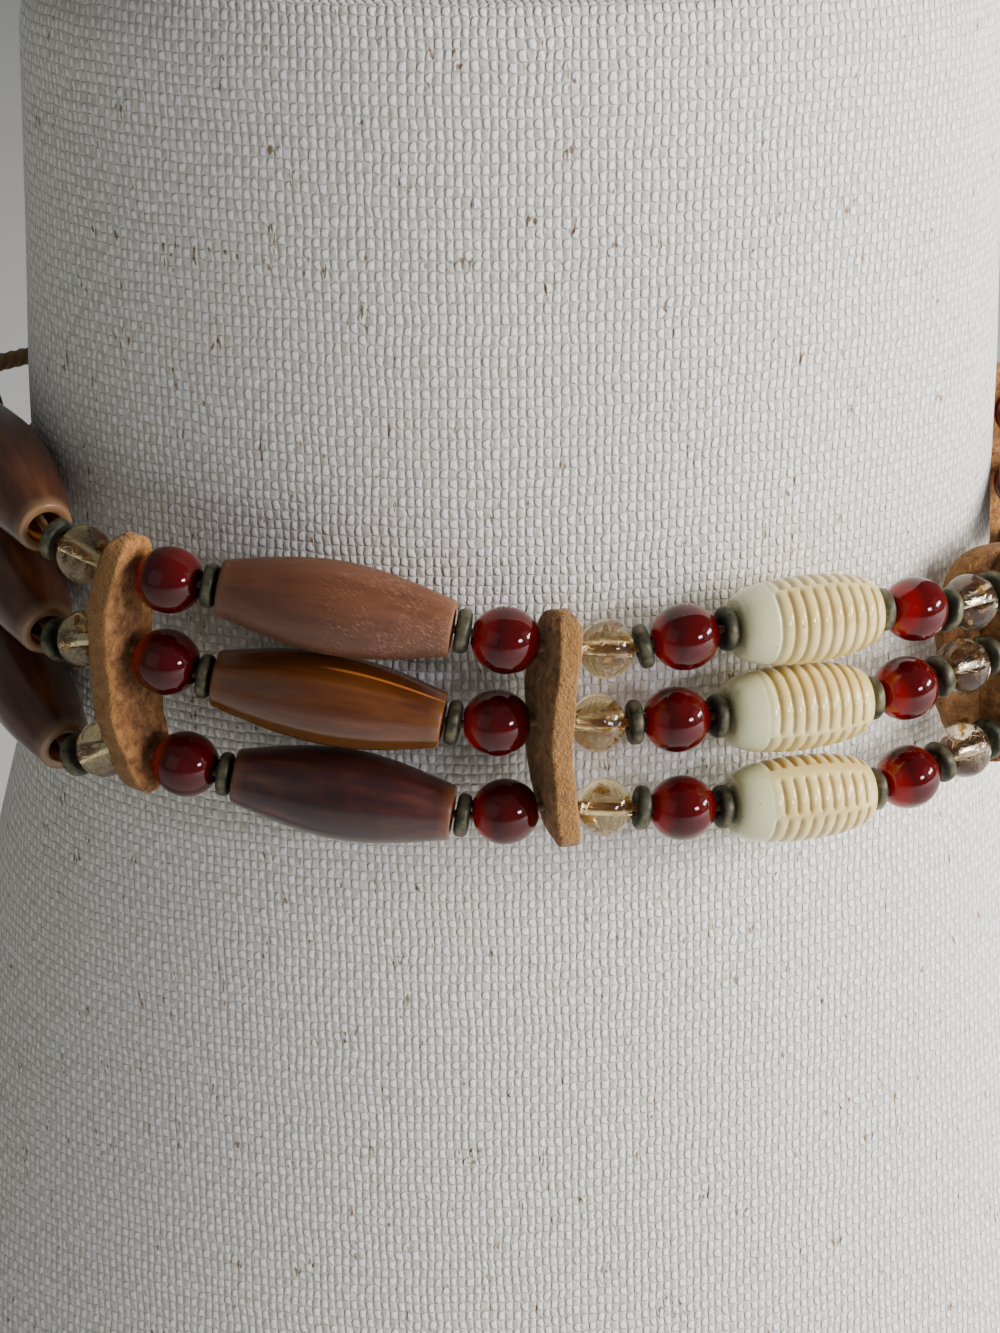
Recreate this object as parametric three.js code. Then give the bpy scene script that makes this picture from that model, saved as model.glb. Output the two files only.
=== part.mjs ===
// Three-strand beaded choker on a plain linen neck bust.
// Millimetres, +Z up, the front faces -Y, the origin is the middle of the bust's flat underside.
// Each strand is a cord with its small beads fused to it. The horn hairpipes, the ribbed bone
// beads and the carnelians are drilled and strung on it, and flat leather bars hold the three
// strands apart. The hidden stretch at the nape is bare cord, closed by one plain clasp.
import * as THREE from "three";
import { mergeVertices } from "three/addons/utils/BufferGeometryUtils.js";

// Neck bust
const bustHeight = 197;
const neckHalfWidth = 59.4;
const neckHalfDepth = 40.8;
const neckOvalPower = 2.15;
const bustSides = 40;
// Sections from the base to the top: shares of the bust's height and of the neck's half sizes.
const bustSections = [
  { height: 0.0, width: 1.6 },
  { height: 0.03, width: 1.63 },
  { height: 0.13, width: 1.5 },
  { height: 0.25, width: 1.33 },
  { height: 0.36, width: 1.21 },
  { height: 0.44, width: 1.145 },
  { height: 0.52, width: 1.068 },
  { height: 0.6, width: 1.018 },
  { height: 0.68, width: 0.995 },
  { height: 0.76, width: 0.985 },
  { height: 0.85, width: 0.965 },
  { height: 0.97, width: 0.943 },
  { height: 0.99, width: 0.925 },
  { height: 1.0, width: 0.888 },
];

// Route of the choker round the neck
const chokerHeight = 130;
const backRiseShare = 0.14;
const sideFallShare = 0.067;
const seatGap = 0.4;
// Chosen points of the three strands: degrees round the neck from its front towards +X, and how
// far top, middle and bottom strand lie above the choker's tilted plane, as shares of a hairpipe's
// diameter with its gap. The strands draw together at the bars and spread at the large beads. Off
// is how much further from the neck they run there than a hairpipe needs, as a share of its size.
const strandRoute = [
  { turn: -180, bars: [0.86, 0.0, -0.92], beads: [1.02, 0.0, -1.06], off: 0 },
  { turn: -92, bars: [0.95, 0.05, -0.95], beads: [1.18, 0.02, -1.2], off: -0.03 },
  { turn: -60, bars: [0.97, 0.12, -0.98], beads: [1.02, -0.17, -1.42], off: 0.05 },
  { turn: -42, bars: [0.97, 0.14, -1.02], beads: [1.06, 0.04, -1.02], off: 0 },
  { turn: -13, bars: [0.78, -0.04, -0.98], beads: [0.92, -0.1, -1.12], off: 0 },
  { turn: 16, bars: [0.78, -0.04, -0.98], beads: [0.97, 0.0, -1.02], off: 0 },
  { turn: 42, bars: [0.74, 0.04, -0.94], beads: [0.97, -0.02, -1.06], off: 0 },
  { turn: 90, bars: [0.86, 0.04, -0.9], beads: [1.02, 0.0, -1.06], off: 0 },
];

// Cord and beads
const cordDiameter = 1.1;
const napeCordDiameter = 2.2;
const boreClearance = 0.45;
const beadGap = 0.34;
const cornerSlack = 0.25;
const openCornerGap = 1.65;
const ringLength = 1.55;
const ringDiameter = 4.9;
const ringShoulderShare = 0.6;
const carnelianDiameter = 7.3;
const carnelianLength = 7.15;
const citrineDiameter = 6.5;
const citrineLength = 5.9;
const hairpipeLength = 25.3;
const hairpipeShortfall = 0.9;
const hairpipeExcess = 1.9;
const hairpipeDiameter = 10.1;
const hairpipeEndDiameter = 6.2;
const hairpipeBore = 3.9;
const ribbedLength = 16.6;
const ribbedDiameter = 9.8;
const ribbedEndDiameter = 5.8;
const ribPitch = 1.45;
const ribDepth = 0.45;
const ribCollar = 3.4;
const beadSides = 10;
const tubeSides = 12;

// Leather bars
const barThickness = 2.8;
const barDepth = 9.6;
const barRoot = 3.15;
const barOverhang = 4.2;
const barScallop = 0.7;
const barLeanDegrees = 30;
const holeSides = 8;
// Each bar from the -X end: the degrees that it is turned about its holes, how wide its strip
// beside the neck is as a share of its depth, and the degrees that this strip curls under the
// beads on its -X side.
const barShapes = [
  { turn: 0, strip: 0.2, curl: 0 },
  { turn: 0, strip: 0.2, curl: 0 },
  { turn: 13, strip: 0.2, curl: 0 },
  { turn: 0, strip: 0.6, curl: 64 },
  { turn: 0, strip: 0.2, curl: 0 },
  { turn: 0, strip: 0.2, curl: 0 },
];

// Clasp at the nape
const claspWidth = 7;
const claspDepth = 7;
const claspOverhang = 4;
const claspEntry = 2.4;
const claspClearance = 0.9;
const claspRootShare = 0.8;

const colours = {
  linen: [0xcfcbc0, 0.95, 0],
  cord: [0x4a3424, 0.8, 0],
  hairpipe: [0x8a5230, 0.4, 0],
  ribbed: [0xe6dcc0, 0.35, 0],
  carnelian: [0x6e1a16, 0.15, 0],
  leather: [0xb98e62, 0.9, 0],
  clasp: [0x7d7350, 0.4, 0.8],
};

const shortHairpipeLength = hairpipeLength - hairpipeShortfall;
const longHairpipeLength = hairpipeLength + hairpipeExcess;

// Each strand: its row in the route, how far its centre bar sits along the neck as a share of the
// bar's thickness, and the lengths of its hairpipes by section where they differ.
const strands = [
  { name: "top", row: 0, start: -0.143, right: shortHairpipeLength },
  { name: "middle", row: 1, start: -0.429 },
  {
    name: "bottom",
    row: 2,
    start: -0.143,
    left: shortHairpipeLength,
    left_end: longHairpipeLength,
    right: longHairpipeLength,
  },
];

const cordRadius = cordDiameter / 2;
// What is strung from one bar to the next, outwards from the centre bar. Pieces joined by + lie in
// one straight line, and the cord bends between the others.
const endPattern = ["citrine", "ring+hairpipe+ring+bar"];
const openEndPattern = ["citrine+ring", "hairpipe+ring+bar"];
const sidePattern = ["carnelian", "ring+hairpipe+ring", "carnelian", "bar"];
const middlePattern = [
  "citrine", "ring", "carnelian", "ring+ribbed+ring", "carnelian", "ring", "citrine", "ring+bar",
];
// The strands turn sharply at the sides of the neck, where their pieces need some slack.
const rightSections = [
  { name: "centre", pattern: middlePattern, slack: 0 },
  { name: "right", pattern: sidePattern, slack: cornerSlack },
  { name: "right_end", pattern: endPattern, slack: cornerSlack },
];
const leftSections = [
  { name: "left", pattern: sidePattern, slack: 0 },
  { name: "left_end", pattern: openEndPattern, slack: 0 },
];

function signedPower(value, power) {
  return Math.sign(value) * Math.abs(value) ** power;
}

function mix(low, high, share) {
  return low + (high - low) * share;
}

function smoothStep(share) {
  const s = Math.min(Math.max(share, 0), 1);
  return s * s * (3 - 2 * s);
}

// Value of a table at a place on its rising axis, straight between its rows.
function readTable(places, values, place) {
  let row = 1;
  while (row < places.length - 1 && places[row] < place) {
    row += 1;
  }
  const share = (place - places[row - 1]) / (places[row] - places[row - 1]);
  return mix(values[row - 1], values[row], Math.min(Math.max(share, 0), 1));
}

// The neck's section at a height is an oval |x/a|^n + |y/b|^n = 1.
const sectionHeights = bustSections.map((row) => row.height * bustHeight);
const sectionWidths = bustSections.map((row) => row.width);

function neckSection(angle, height) {
  const scale = readTable(sectionHeights, sectionWidths, height);
  const a = neckHalfWidth * scale;
  const b = neckHalfDepth * scale;
  const x = a * signedPower(Math.sin(angle), 2 / neckOvalPower);
  const y = -b * signedPower(Math.cos(angle), 2 / neckOvalPower);
  const normal = new THREE.Vector2(
    signedPower(x / a, neckOvalPower - 1) / a,
    signedPower(y / b, neckOvalPower - 1) / b,
  ).normalize();
  return { x, y, normal };
}

// Angles at even steps of arc length round the neck, from the nape (-0.5) by the front (0).
const roundSteps = 720;

function evenAngles() {
  const angles = [];
  const lengths = [0];
  let last = null;
  for (let i = 0; i <= roundSteps; i += 1) {
    const angle = mix(-Math.PI, Math.PI, i / roundSteps);
    const point = neckSection(angle, chokerHeight);
    if (last) {
      lengths.push(lengths[i - 1] + Math.hypot(point.x - last.x, point.y - last.y));
    }
    angles.push(angle);
    last = point;
  }
  const whole = lengths[roundSteps];
  const even = [];
  for (let i = 0; i <= roundSteps; i += 1) {
    even.push(readTable(lengths, angles, (whole * i) / roundSteps));
  }
  return { even, whole };
}

const neckRound = evenAngles();

function angleAt(share) {
  const place = (((share + 0.5) % 1) + 1) % 1 * roundSteps;
  const low = Math.floor(place);
  return mix(neckRound.even[low], neckRound.even[low + 1], place - low);
}

// How far a straight hairpipe with its two rings would cut into the neck at each place, spread
// over its length and smoothed, so that every hairpipe clears the neck and lies close to it.
const hairpipeReach = hairpipeLength + 2 * ringLength + 3 * beadGap;

function hairpipeSags() {
  const reach = hairpipeReach / 2 / neckRound.whole;
  const window = Math.ceil(reach * roundSteps);
  const at = (i) => neckSection(angleAt(i / roundSteps - 0.5), chokerHeight);
  const sags = [];
  for (let i = 0; i < roundSteps; i += 1) {
    const here = at(i);
    const before = at(i - window);
    const after = at(i + window);
    const middle = [(before.x + after.x) / 2, (before.y + after.y) / 2];
    sags.push(Math.hypot(middle[0] - here.x, middle[1] - here.y));
  }
  const around = (values, i, pick) => {
    const seen = [];
    for (let k = -window; k <= window; k += 3) {
      seen.push(values[(i + k + roundSteps) % roundSteps]);
    }
    return pick(seen);
  };
  const largest = sags.map((_, i) => around(sags, i, (seen) => Math.max(...seen)));
  const mean = (seen) => seen.reduce((sum, value) => sum + value, 0) / seen.length;
  return largest.map((_, i) => around(largest, i, mean));
}

const sagRound = hairpipeSags();

// Value of the strands' route at a turn round the neck, eased between its chosen points.
function routeValue(turn, valueOf) {
  const rows = [...strandRoute, { ...strandRoute[0], turn: strandRoute[0].turn + 360 }];
  const next = rows.findIndex((row, i) => i > 0 && row.turn >= turn);
  const low = rows[next - 1];
  const high = rows[next];
  const share = smoothStep((turn - low.turn) / (high.turn - low.turn));
  return mix(valueOf(low), valueOf(high), share);
}

function turnOf(x, y) {
  return (Math.atan2(x, -y) * 180) / Math.PI;
}

function beadStandoff(share) {
  const place = (((share + 0.5) % 1) + 1) % 1 * roundSteps;
  const low = Math.floor(place);
  const sag = mix(sagRound[low % roundSteps], sagRound[(low + 1) % roundSteps], place - low);
  const { x, y } = neckSection(angleAt(share), chokerHeight);
  const off = hairpipeDiameter * routeValue(turnOf(x, y), (row) => row.off);
  return hairpipeDiameter / 2 + seatGap + sag + off;
}

// Lift of a strand above its tilted plane, eased between the chosen points of its route. Spread is
// 0 where it passes a bar and 1 at a large bead.
const strandPitch = hairpipeDiameter + beadGap;

function routeLift(strand, x, y, spread) {
  const liftOf = (row) => mix(row.bars[strand.row], row.beads[strand.row], spread);
  return strandPitch * routeValue(turnOf(x, y), liftOf);
}

function strandPoint(strand, share, standoff, spread = 0) {
  let height = chokerHeight;
  let x = 0;
  let y = 0;
  for (let round = 0; round < 5; round += 1) {
    const section = neckSection(angleAt(share), height);
    x = section.x + section.normal.x * standoff;
    y = section.y + section.normal.y * standoff;
    height = chokerHeight + backRiseShare * y - sideFallShare * x + routeLift(strand, x, y, spread);
  }
  return new THREE.Vector3(x, y, height);
}

function beadPoint(strand, share, spread) {
  return strandPoint(strand, share, beadStandoff(share), spread);
}

// The next place on the strand's route that lies a given straight distance away.
function stepAlong(strand, share, spreads, distance, direction) {
  const from = beadPoint(strand, share, spreads[0]);
  let near = 0;
  let far = (2 * distance) / neckRound.whole;
  for (let round = 0; round < 30; round += 1) {
    const middle = (near + far) / 2;
    const reached = beadPoint(strand, share + direction * middle, spreads[1]).distanceTo(from);
    if (reached < distance) {
      near = middle;
    } else {
      far = middle;
    }
  }
  return share + direction * near;
}

const fixedLengths = {
  ring: ringLength,
  carnelian: carnelianLength,
  citrine: citrineLength,
  ribbed: ribbedLength,
  bar: barThickness,
};

function pieceLength(kind, strand, sectionName) {
  if (kind !== "hairpipe") {
    return fixedLengths[kind];
  }
  return strand[sectionName] ?? hairpipeLength;
}

// A bar stands upright while its strands climb towards the nape, so the beads beside it keep room
// for that lean.
const lean = (barLeanDegrees * Math.PI) / 180;
const ringInset = (ringLength / 2) * (1 - ringShoulderShare);
const barRingGap = beadGap / 2 + (ringDiameter / 2) * Math.tan(lean) - ringInset;
const barRoundGap = beadGap / 2 + (carnelianDiameter / 2) * (1 / Math.cos(lean) - 1);

function gapBetween(kind, next) {
  return kind === "ring" && next === "bar" ? barRingGap : beadGap;
}

// The cord bends sharply at a hairpipe that ends a unit, so its bore stands open there.
function endGap(kind) {
  if (kind === "hairpipe") {
    return openCornerGap;
  }
  return kind === "bar" ? barRoundGap - beadGap / 2 : beadGap / 2;
}

// A straight unit of pieces in line, with its length from one point of the route to the next.
function makeUnit(kinds, strand, section, slack = 0) {
  let along = endGap(kinds[0]) + slack;
  const pieces = kinds.map((kind, i) => {
    const length = pieceLength(kind, strand, section);
    const piece = { kind, length, section, at: along + length / 2 };
    const last = i === kinds.length - 1;
    along += length + (last ? endGap(kind) + slack : gapBetween(kind, kinds[i + 1]));
    return piece;
  });
  return { pieces, length: along };
}

// How far the strands have spread at each joint of a pattern, from one bar to the next.
function jointSpreads(pattern) {
  const large = pattern.findIndex((step) => step.includes("hairpipe") || step.includes("ribbed"));
  const after = pattern.length - 2 - large;
  return [...pattern, "end"].map((_, joint) => {
    if (joint <= large) {
      return (joint / Math.max(large, 1)) ** 3;
    }
    return after < 1 ? 1 : Math.max(1 - (joint - large - 1) / after, 0) ** 3;
  });
}

// Units from one bar outwards. On the left they are turned round, so that all run towards +X.
function layUnits(strand, sections, share, direction) {
  const units = [];
  let place = share;
  sections.forEach((section) => {
    const spreads = jointSpreads(section.pattern);
    section.pattern.forEach((step, i) => {
      const unit = makeUnit(step.split("+"), strand, section.name, section.slack);
      const ends = [spreads[i], spreads[i + 1]];
      const next = stepAlong(strand, place, ends, unit.length, direction);
      if (direction > 0) {
        units.push({ ...unit, shares: [place, next], spreads: ends });
      } else {
        const pieces = unit.pieces.map((piece) => ({ ...piece, at: unit.length - piece.at }));
        const turnedRound = { shares: [next, place], spreads: ends.reverse() };
        units.unshift({ ...unit, ...turnedRound, pieces: pieces.reverse() });
      }
      place = next;
    });
  });
  return units;
}

function layStrand(strand) {
  const centreBar = makeUnit(["bar"], strand, "centre_bar");
  const half = centreBar.length / 2 / neckRound.whole;
  const centre = (strand.start * barThickness) / neckRound.whole;
  centreBar.shares = [centre - half, centre + half];
  centreBar.spreads = [0, 0];
  const units = [
    ...layUnits(strand, leftSections, centreBar.shares[0], -1),
    centreBar,
    ...layUnits(strand, rightSections, centreBar.shares[1], 1),
  ];
  units.forEach((unit) => {
    [unit.from, unit.to] = unit.shares.map((share, i) => beadPoint(strand, share, unit.spreads[i]));
    unit.axis = unit.to.clone().sub(unit.from).normalize();
    unit.pieces.forEach((piece) => {
      piece.centre = unit.from.clone().addScaledVector(unit.axis, piece.at);
      piece.axis = unit.axis;
    });
  });
  return units;
}

// Cross-section rings of the fused cord and small beads.
function frameOf(axis) {
  const out = new THREE.Vector3(axis.y, -axis.x, 0).normalize();
  return { out, up: new THREE.Vector3().crossVectors(out, axis).normalize() };
}

const roundRows = 6;

function smallBeadProfile(piece) {
  const half = piece.length / 2;
  if (piece.kind === "ring") {
    const radius = ringDiameter / 2;
    const shoulder = half * ringShoulderShare;
    return [[-half, cordRadius], [-shoulder, radius], [shoulder, radius], [half, cordRadius]];
  }
  const radius = citrineDiameter / 2;
  const start = Math.asin(cordRadius / radius);
  const rows = [];
  for (let i = 0; i <= roundRows; i += 1) {
    const angle = mix(start, Math.PI - start, i / roundRows);
    rows.push([-half * Math.cos(angle), radius * Math.sin(angle)]);
  }
  return rows;
}

function cordStations(units) {
  const stations = [];
  units.forEach((unit, i) => {
    const before = i > 0 ? units[i - 1].axis : unit.axis;
    const axis = before.clone().add(unit.axis).normalize();
    stations.push({ point: unit.from, axis, radius: cordRadius });
    unit.pieces.filter((piece) => piece.kind === "ring" || piece.kind === "citrine")
      .forEach((piece) => {
        smallBeadProfile(piece).forEach(([offset, radius]) => {
          const point = piece.centre.clone().addScaledVector(unit.axis, offset);
          stations.push({ point, axis: unit.axis, radius });
        });
      });
  });
  return stations;
}

// Bare cord from a last bar to the clasp, easing down onto the neck and up into the clasp. Leaving
// is the end of the beads: where it is, its direction, its place and its spread.
const napeSteps = 8;
const napeEasingShare = 0.35;

function napeStations(strand, leaving, claspShare) {
  const { point: end, axis: outward, share, spread } = leaving;
  const cordStandoff = napeCordDiameter / 2 + seatGap;
  const claspStandoff = claspDepth / 2 + seatGap;
  const points = [end.clone().addScaledVector(outward, napeCordDiameter)];
  for (let i = 1; i <= napeSteps; i += 1) {
    const along = i / napeSteps;
    const down = smoothStep(along / napeEasingShare);
    const up = smoothStep((along - 1 + napeEasingShare) / napeEasingShare);
    const standoff = mix(mix(beadStandoff(share), cordStandoff, down), claspStandoff, up);
    const place = mix(share, claspShare, along);
    points.push(strandPoint(strand, place, standoff, spread * (1 - down)));
  }
  const thick = points.map((point, i) => {
    const low = points[Math.max(i - 1, 0)];
    const high = points[Math.min(i + 1, napeSteps)];
    const axis = i === 0 ? outward.clone() : high.clone().sub(low).normalize();
    return { point, axis, radius: napeCordDiameter / 2 };
  });
  return [{ point: end, axis: outward.clone(), radius: cordRadius }, ...thick];
}

function closedTube(stations, sides) {
  const positions = [];
  const indices = [];
  stations.forEach(({ point, axis, radius }) => {
    const { out, up } = frameOf(axis);
    for (let k = 0; k < sides; k += 1) {
      const angle = (2 * Math.PI * k) / sides;
      const corner = point.clone()
        .addScaledVector(out, radius * Math.cos(angle))
        .addScaledVector(up, radius * Math.sin(angle));
      positions.push(corner.x, corner.y, corner.z);
    }
  });
  for (let row = 0; row + 1 < stations.length; row += 1) {
    for (let k = 0; k < sides; k += 1) {
      const next = (k + 1) % sides;
      const low = row * sides;
      const high = low + sides;
      indices.push(low + k, high + next, low + next, low + k, high + k, high + next);
    }
  }
  [0, stations.length - 1].forEach((row) => {
    const { point } = stations[row];
    const middle = positions.length / 3;
    positions.push(point.x, point.y, point.z);
    for (let k = 0; k < sides; k += 1) {
      const pair = [row * sides + k, row * sides + ((k + 1) % sides)];
      indices.push(middle, ...(row === 0 ? pair : pair.reverse()));
    }
  });
  const geometry = new THREE.BufferGeometry();
  geometry.setAttribute("position", new THREE.Float32BufferAttribute(positions, 3));
  geometry.setIndex(indices);
  return geometry;
}

// A drilled bead is its outer outline and its bore, turned about its axis.
function turned(outline, boreRadius, sides) {
  const first = outline[0][0];
  const last = outline[outline.length - 1][0];
  const points = [[first, boreRadius], ...outline, [last, boreRadius], [first, boreRadius]]
    .map(([along, radius]) => new THREE.Vector2(radius, along));
  const geometry = new THREE.LatheGeometry(points, sides);
  geometry.deleteAttribute("normal");
  geometry.deleteAttribute("uv");
  return mergeVertices(geometry, 1e-4);
}

function hairpipeGeometry(length) {
  const end = hairpipeEndDiameter / 2;
  const middle = hairpipeDiameter / 2;
  const outline = [
    [-length / 2, end],
    [-length / 3.4, mix(end, middle, 0.62)],
    [-length / 9, middle],
    [length / 9, middle],
    [length / 3.4, mix(end, middle, 0.62)],
    [length / 2, end],
  ];
  return turned(outline, hairpipeBore / 2, tubeSides);
}

function ribbedGeometry() {
  const half = ribbedLength / 2;
  const end = ribbedEndDiameter / 2;
  const girth = (along) => mix(end, ribbedDiameter / 2, Math.sqrt(1 - (along / half) ** 2));
  const ribs = Math.floor((ribbedLength - ribCollar - ribPitch / 2) / ribPitch);
  const outline = [[-half, end], [-half + ribCollar / 2, girth(-half + ribCollar / 2)]];
  for (let i = 0; i < ribs; i += 1) {
    const groove = -half + ribCollar + i * ribPitch;
    const crest = groove + ribPitch / 2;
    outline.push([groove, girth(groove) - ribDepth], [crest, girth(crest)]);
  }
  outline.push([half, end]);
  return turned(outline, cordRadius + boreClearance, tubeSides);
}

function carnelianGeometry() {
  const radius = carnelianDiameter / 2;
  const bore = cordRadius + boreClearance;
  const start = Math.asin(bore / radius) * 1.25;
  const half = carnelianLength / 2 / Math.cos(start);
  const rows = 5;
  const outline = [];
  for (let i = 0; i <= rows; i += 1) {
    const angle = mix(start, Math.PI - start, i / rows);
    outline.push([-half * Math.cos(angle), radius * Math.sin(angle)]);
  }
  return turned(outline, bore, beadSides);
}

function placeBead(mesh, piece) {
  mesh.position.copy(piece.centre);
  mesh.quaternion.setFromUnitVectors(new THREE.Vector3(0, 1, 0), piece.axis);
}

// A flat plate with three holes, bent so that its middle passes through the three strands.
// Its outline is worked out from the strands' heights: across is outwards from the neck.
function platePoint(holes, up) {
  const [bottom, middle, top] = holes;
  const low = bottom.up - middle.up;
  const high = top.up - middle.up;
  const place = up - middle.up;
  const inside = Math.min(Math.max(place, low), high);
  const bow = (key) => {
    const slopeLow = (bottom[key] - middle[key]) / low;
    const slopeHigh = (top[key] - middle[key]) / high;
    const curve = (slopeHigh - slopeLow) / (high - low);
    const value = middle[key] + inside * (slopeLow + curve * (inside - low));
    const slope = slopeLow + curve * (2 * inside - low);
    return value + (place - inside) * slope;
  };
  return { along: bow("along"), across: bow("across") };
}

// Heights of the plate's rows: four round each hole, two between holes, closer towards its ends.
const endSteps = 4;

function plateRows(holes, overhang, collar) {
  const low = holes[0].up - collar;
  const high = holes[2].up + collar;
  const reach = overhang - collar;
  const ends = Array.from({ length: endSteps }, (_, i) => reach * (1 - (i / endSteps) ** 2));
  const ups = ends.map((end) => low - end);
  const collars = [];
  holes.forEach((hole, i) => {
    collars.push(ups.length);
    [-1, -1 / 3, 1 / 3, 1].forEach((share) => ups.push(hole.up + share * collar));
    if (i < 2) {
      const gap = [hole.up + collar, holes[i + 1].up - collar];
      ups.push(mix(...gap, 1 / 3), mix(...gap, 2 / 3));
    }
  });
  ups.push(...ends.reverse().map((end) => high + end));
  return { ups, collars };
}

// The plate's two faces, its edge walls and its hole walls. Edges gives three columns at a height:
// its edge outwards, a line inside the holes, and its edge towards the neck, each with its place
// across and along and the tilt of the plate there. Its ends lie an overhang past the outer holes.
function bentPlate(holes, edges, overhang, holeRadius, thickness) {
  const { ups, collars } = plateRows(holes, overhang, holeRadius * 1.6);
  const flat = ups.flatMap((up) => edges(up).map((column) => ({ ...column, up })));
  holes.forEach((hole) => {
    for (let k = 0; k < holeSides; k += 1) {
      const angle = (2 * Math.PI * (k + 0.5)) / holeSides;
      const up = hole.up + holeRadius * Math.sin(angle);
      flat.push({ across: holeRadius * Math.cos(angle), along: 0, tilt: 0, up });
    }
  });
  const positions = [-thickness / 2, thickness / 2].flatMap((level) => (
    flat.flatMap(({ across, along, tilt, up }) => {
      const bow = platePoint(holes, up);
      const outwards = across + level * Math.sin(tilt) + bow.across;
      return [outwards, up, along + level * Math.cos(tilt) + bow.along];
    })
  ));
  const back = flat.length;
  const outer = (row) => 3 * row;
  const inner = (row) => 3 * row + 1;
  const edge = (row) => 3 * row + 2;
  const ring = (hole, k) => 3 * ups.length + hole * holeSides + (k % holeSides);
  const indices = [];
  const face = (a, b, c, d) => {
    indices.push(back + a, back + b, back + c, back + a, back + c, back + d);
    indices.push(a, c, b, a, d, c);
  };
  const wall = (a, b) => indices.push(a, b, back + b, a, back + b, back + a);
  const top = ups.length - 1;
  for (let row = 0; row < top; row += 1) {
    wall(outer(row), outer(row + 1));
    wall(edge(row + 1), edge(row));
    face(edge(row), inner(row), inner(row + 1), edge(row + 1));
    if (!collars.some((start) => row >= start && row < start + 3)) {
      face(inner(row), outer(row), outer(row + 1), inner(row + 1));
    }
  }
  wall(edge(0), inner(0));
  wall(inner(0), outer(0));
  wall(outer(top), inner(top));
  wall(inner(top), edge(top));
  collars.forEach((c, hole) => {
    const around = [
      outer(c + 2), outer(c + 3), inner(c + 3), inner(c + 2),
      inner(c + 1), inner(c), outer(c), outer(c + 1),
    ];
    around.forEach((corner, k) => {
      face(corner, around[(k + 1) % holeSides], ring(hole, k + 1), ring(hole, k));
      wall(ring(hole, k + 1), ring(hole, k));
    });
  });
  const geometry = new THREE.BufferGeometry();
  geometry.setAttribute("position", new THREE.Float32BufferAttribute(positions, 3));
  geometry.setIndex(indices);
  return geometry;
}

function roundedShare(holes, overhang, up, power) {
  const middle = (holes[0].up + holes[2].up) / 2;
  const reach = (holes[2].up - holes[0].up) / 2 + overhang;
  return (1 - (0.97 * Math.abs(up - middle) / reach) ** power) ** 0.5;
}

// A plate's columns from how far it reaches outwards, to the line inside its holes, and along the
// strip beside the neck, which curls from there.
function plateColumns(outwards, root, strip, curl) {
  return [
    { across: outwards, along: 0, tilt: 0 },
    { across: -root, along: 0, tilt: curl / 2 },
    { across: -root - strip * Math.cos(curl), along: strip * Math.sin(curl), tilt: curl },
  ];
}

// A bar is cut by hand: it is rounded at its ends and hollowed a little towards each bead.
function barEdges(holes, shape) {
  const curl = (shape.curl * Math.PI) / 180;
  return (up) => {
    const rounded = roundedShare(holes, barOverhang, up, 5);
    const gap = (up > holes[1].up ? holes[2].up : holes[0].up) - holes[1].up;
    const hollow = 0.5 + 0.5 * Math.cos((2 * Math.PI * (up - holes[1].up)) / gap);
    const cut = barScallop * hollow * 0.5;
    const strip = barDepth * shape.strip * rounded - cut;
    return plateColumns((barDepth / 2) * rounded - cut, barRoot * rounded, strip, curl);
  };
}

function claspEdges(holes) {
  return (up) => {
    const half = (claspDepth / 2) * roundedShare(holes, claspOverhang, up, 8);
    return plateColumns(half, half * claspRootShare, half * (1 - claspRootShare), 0);
  };
}

// The plate's own frame: outwards from the neck, up, and along the middle strand.
function plateFrame(points, axis) {
  const { out, up } = frameOf(axis);
  const along = new THREE.Vector3().crossVectors(out, up).normalize();
  const origin = points[1];
  const holes = points.map((point) => {
    const offset = point.clone().sub(origin);
    return { up: offset.dot(up), across: offset.dot(out), along: offset.dot(along) };
  });
  return { matrix: new THREE.Matrix4().makeBasis(out, up, along).setPosition(origin), holes };
}

function bustGeometry() {
  const positions = [0, 0, 0, 0, 0, bustHeight];
  const indices = [];
  const sides = bustSides;
  sectionHeights.forEach((height) => {
    for (let k = 0; k < sides; k += 1) {
      const angle = (2 * Math.PI * k) / sides;
      const point = neckSection(angle, height);
      positions.push(point.x, point.y, height);
    }
  });
  const corner = (row, k) => 2 + row * sides + (k % sides);
  const topRow = bustSections.length - 1;
  for (let k = 0; k < sides; k += 1) {
    indices.push(0, corner(0, k + 1), corner(0, k));
    for (let row = 0; row < topRow; row += 1) {
      indices.push(corner(row, k), corner(row, k + 1), corner(row + 1, k + 1));
      indices.push(corner(row, k), corner(row + 1, k + 1), corner(row + 1, k));
    }
    indices.push(1, corner(topRow, k), corner(topRow, k + 1));
  }
  const geometry = new THREE.BufferGeometry();
  geometry.setAttribute("position", new THREE.Float32BufferAttribute(positions, 3));
  geometry.setIndex(indices);
  return geometry;
}

const choker = new THREE.Group();

function addMesh(name, geometry, finish) {
  const [color, roughness, metalness] = colours[finish];
  const material = new THREE.MeshStandardMaterial({ color, roughness, metalness });
  const mesh = new THREE.Mesh(geometry, material);
  mesh.name = name;
  choker.add(mesh);
  return mesh;
}

addMesh("neck_bust", bustGeometry(), "linen");

const laid = strands.map((strand) => ({ strand, units: layStrand(strand) }));

// The clasp sits in the middle of the bare stretch of the middle strand.
const middleUnits = laid[1].units;
const firstShare = middleUnits[0].shares[0];
const lastShare = middleUnits[middleUnits.length - 1].shares[1];
const claspShare = (firstShare + 1 + lastShare) / 2;
const claspPoints = laid.map(({ strand }) => (
  strandPoint(strand, claspShare, claspDepth / 2 + seatGap)
));
const claspAside = strandPoint(strands[1], claspShare + 0.01, claspDepth / 2 + seatGap);
const claspAxis = claspAside.sub(claspPoints[1]).normalize();

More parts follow.
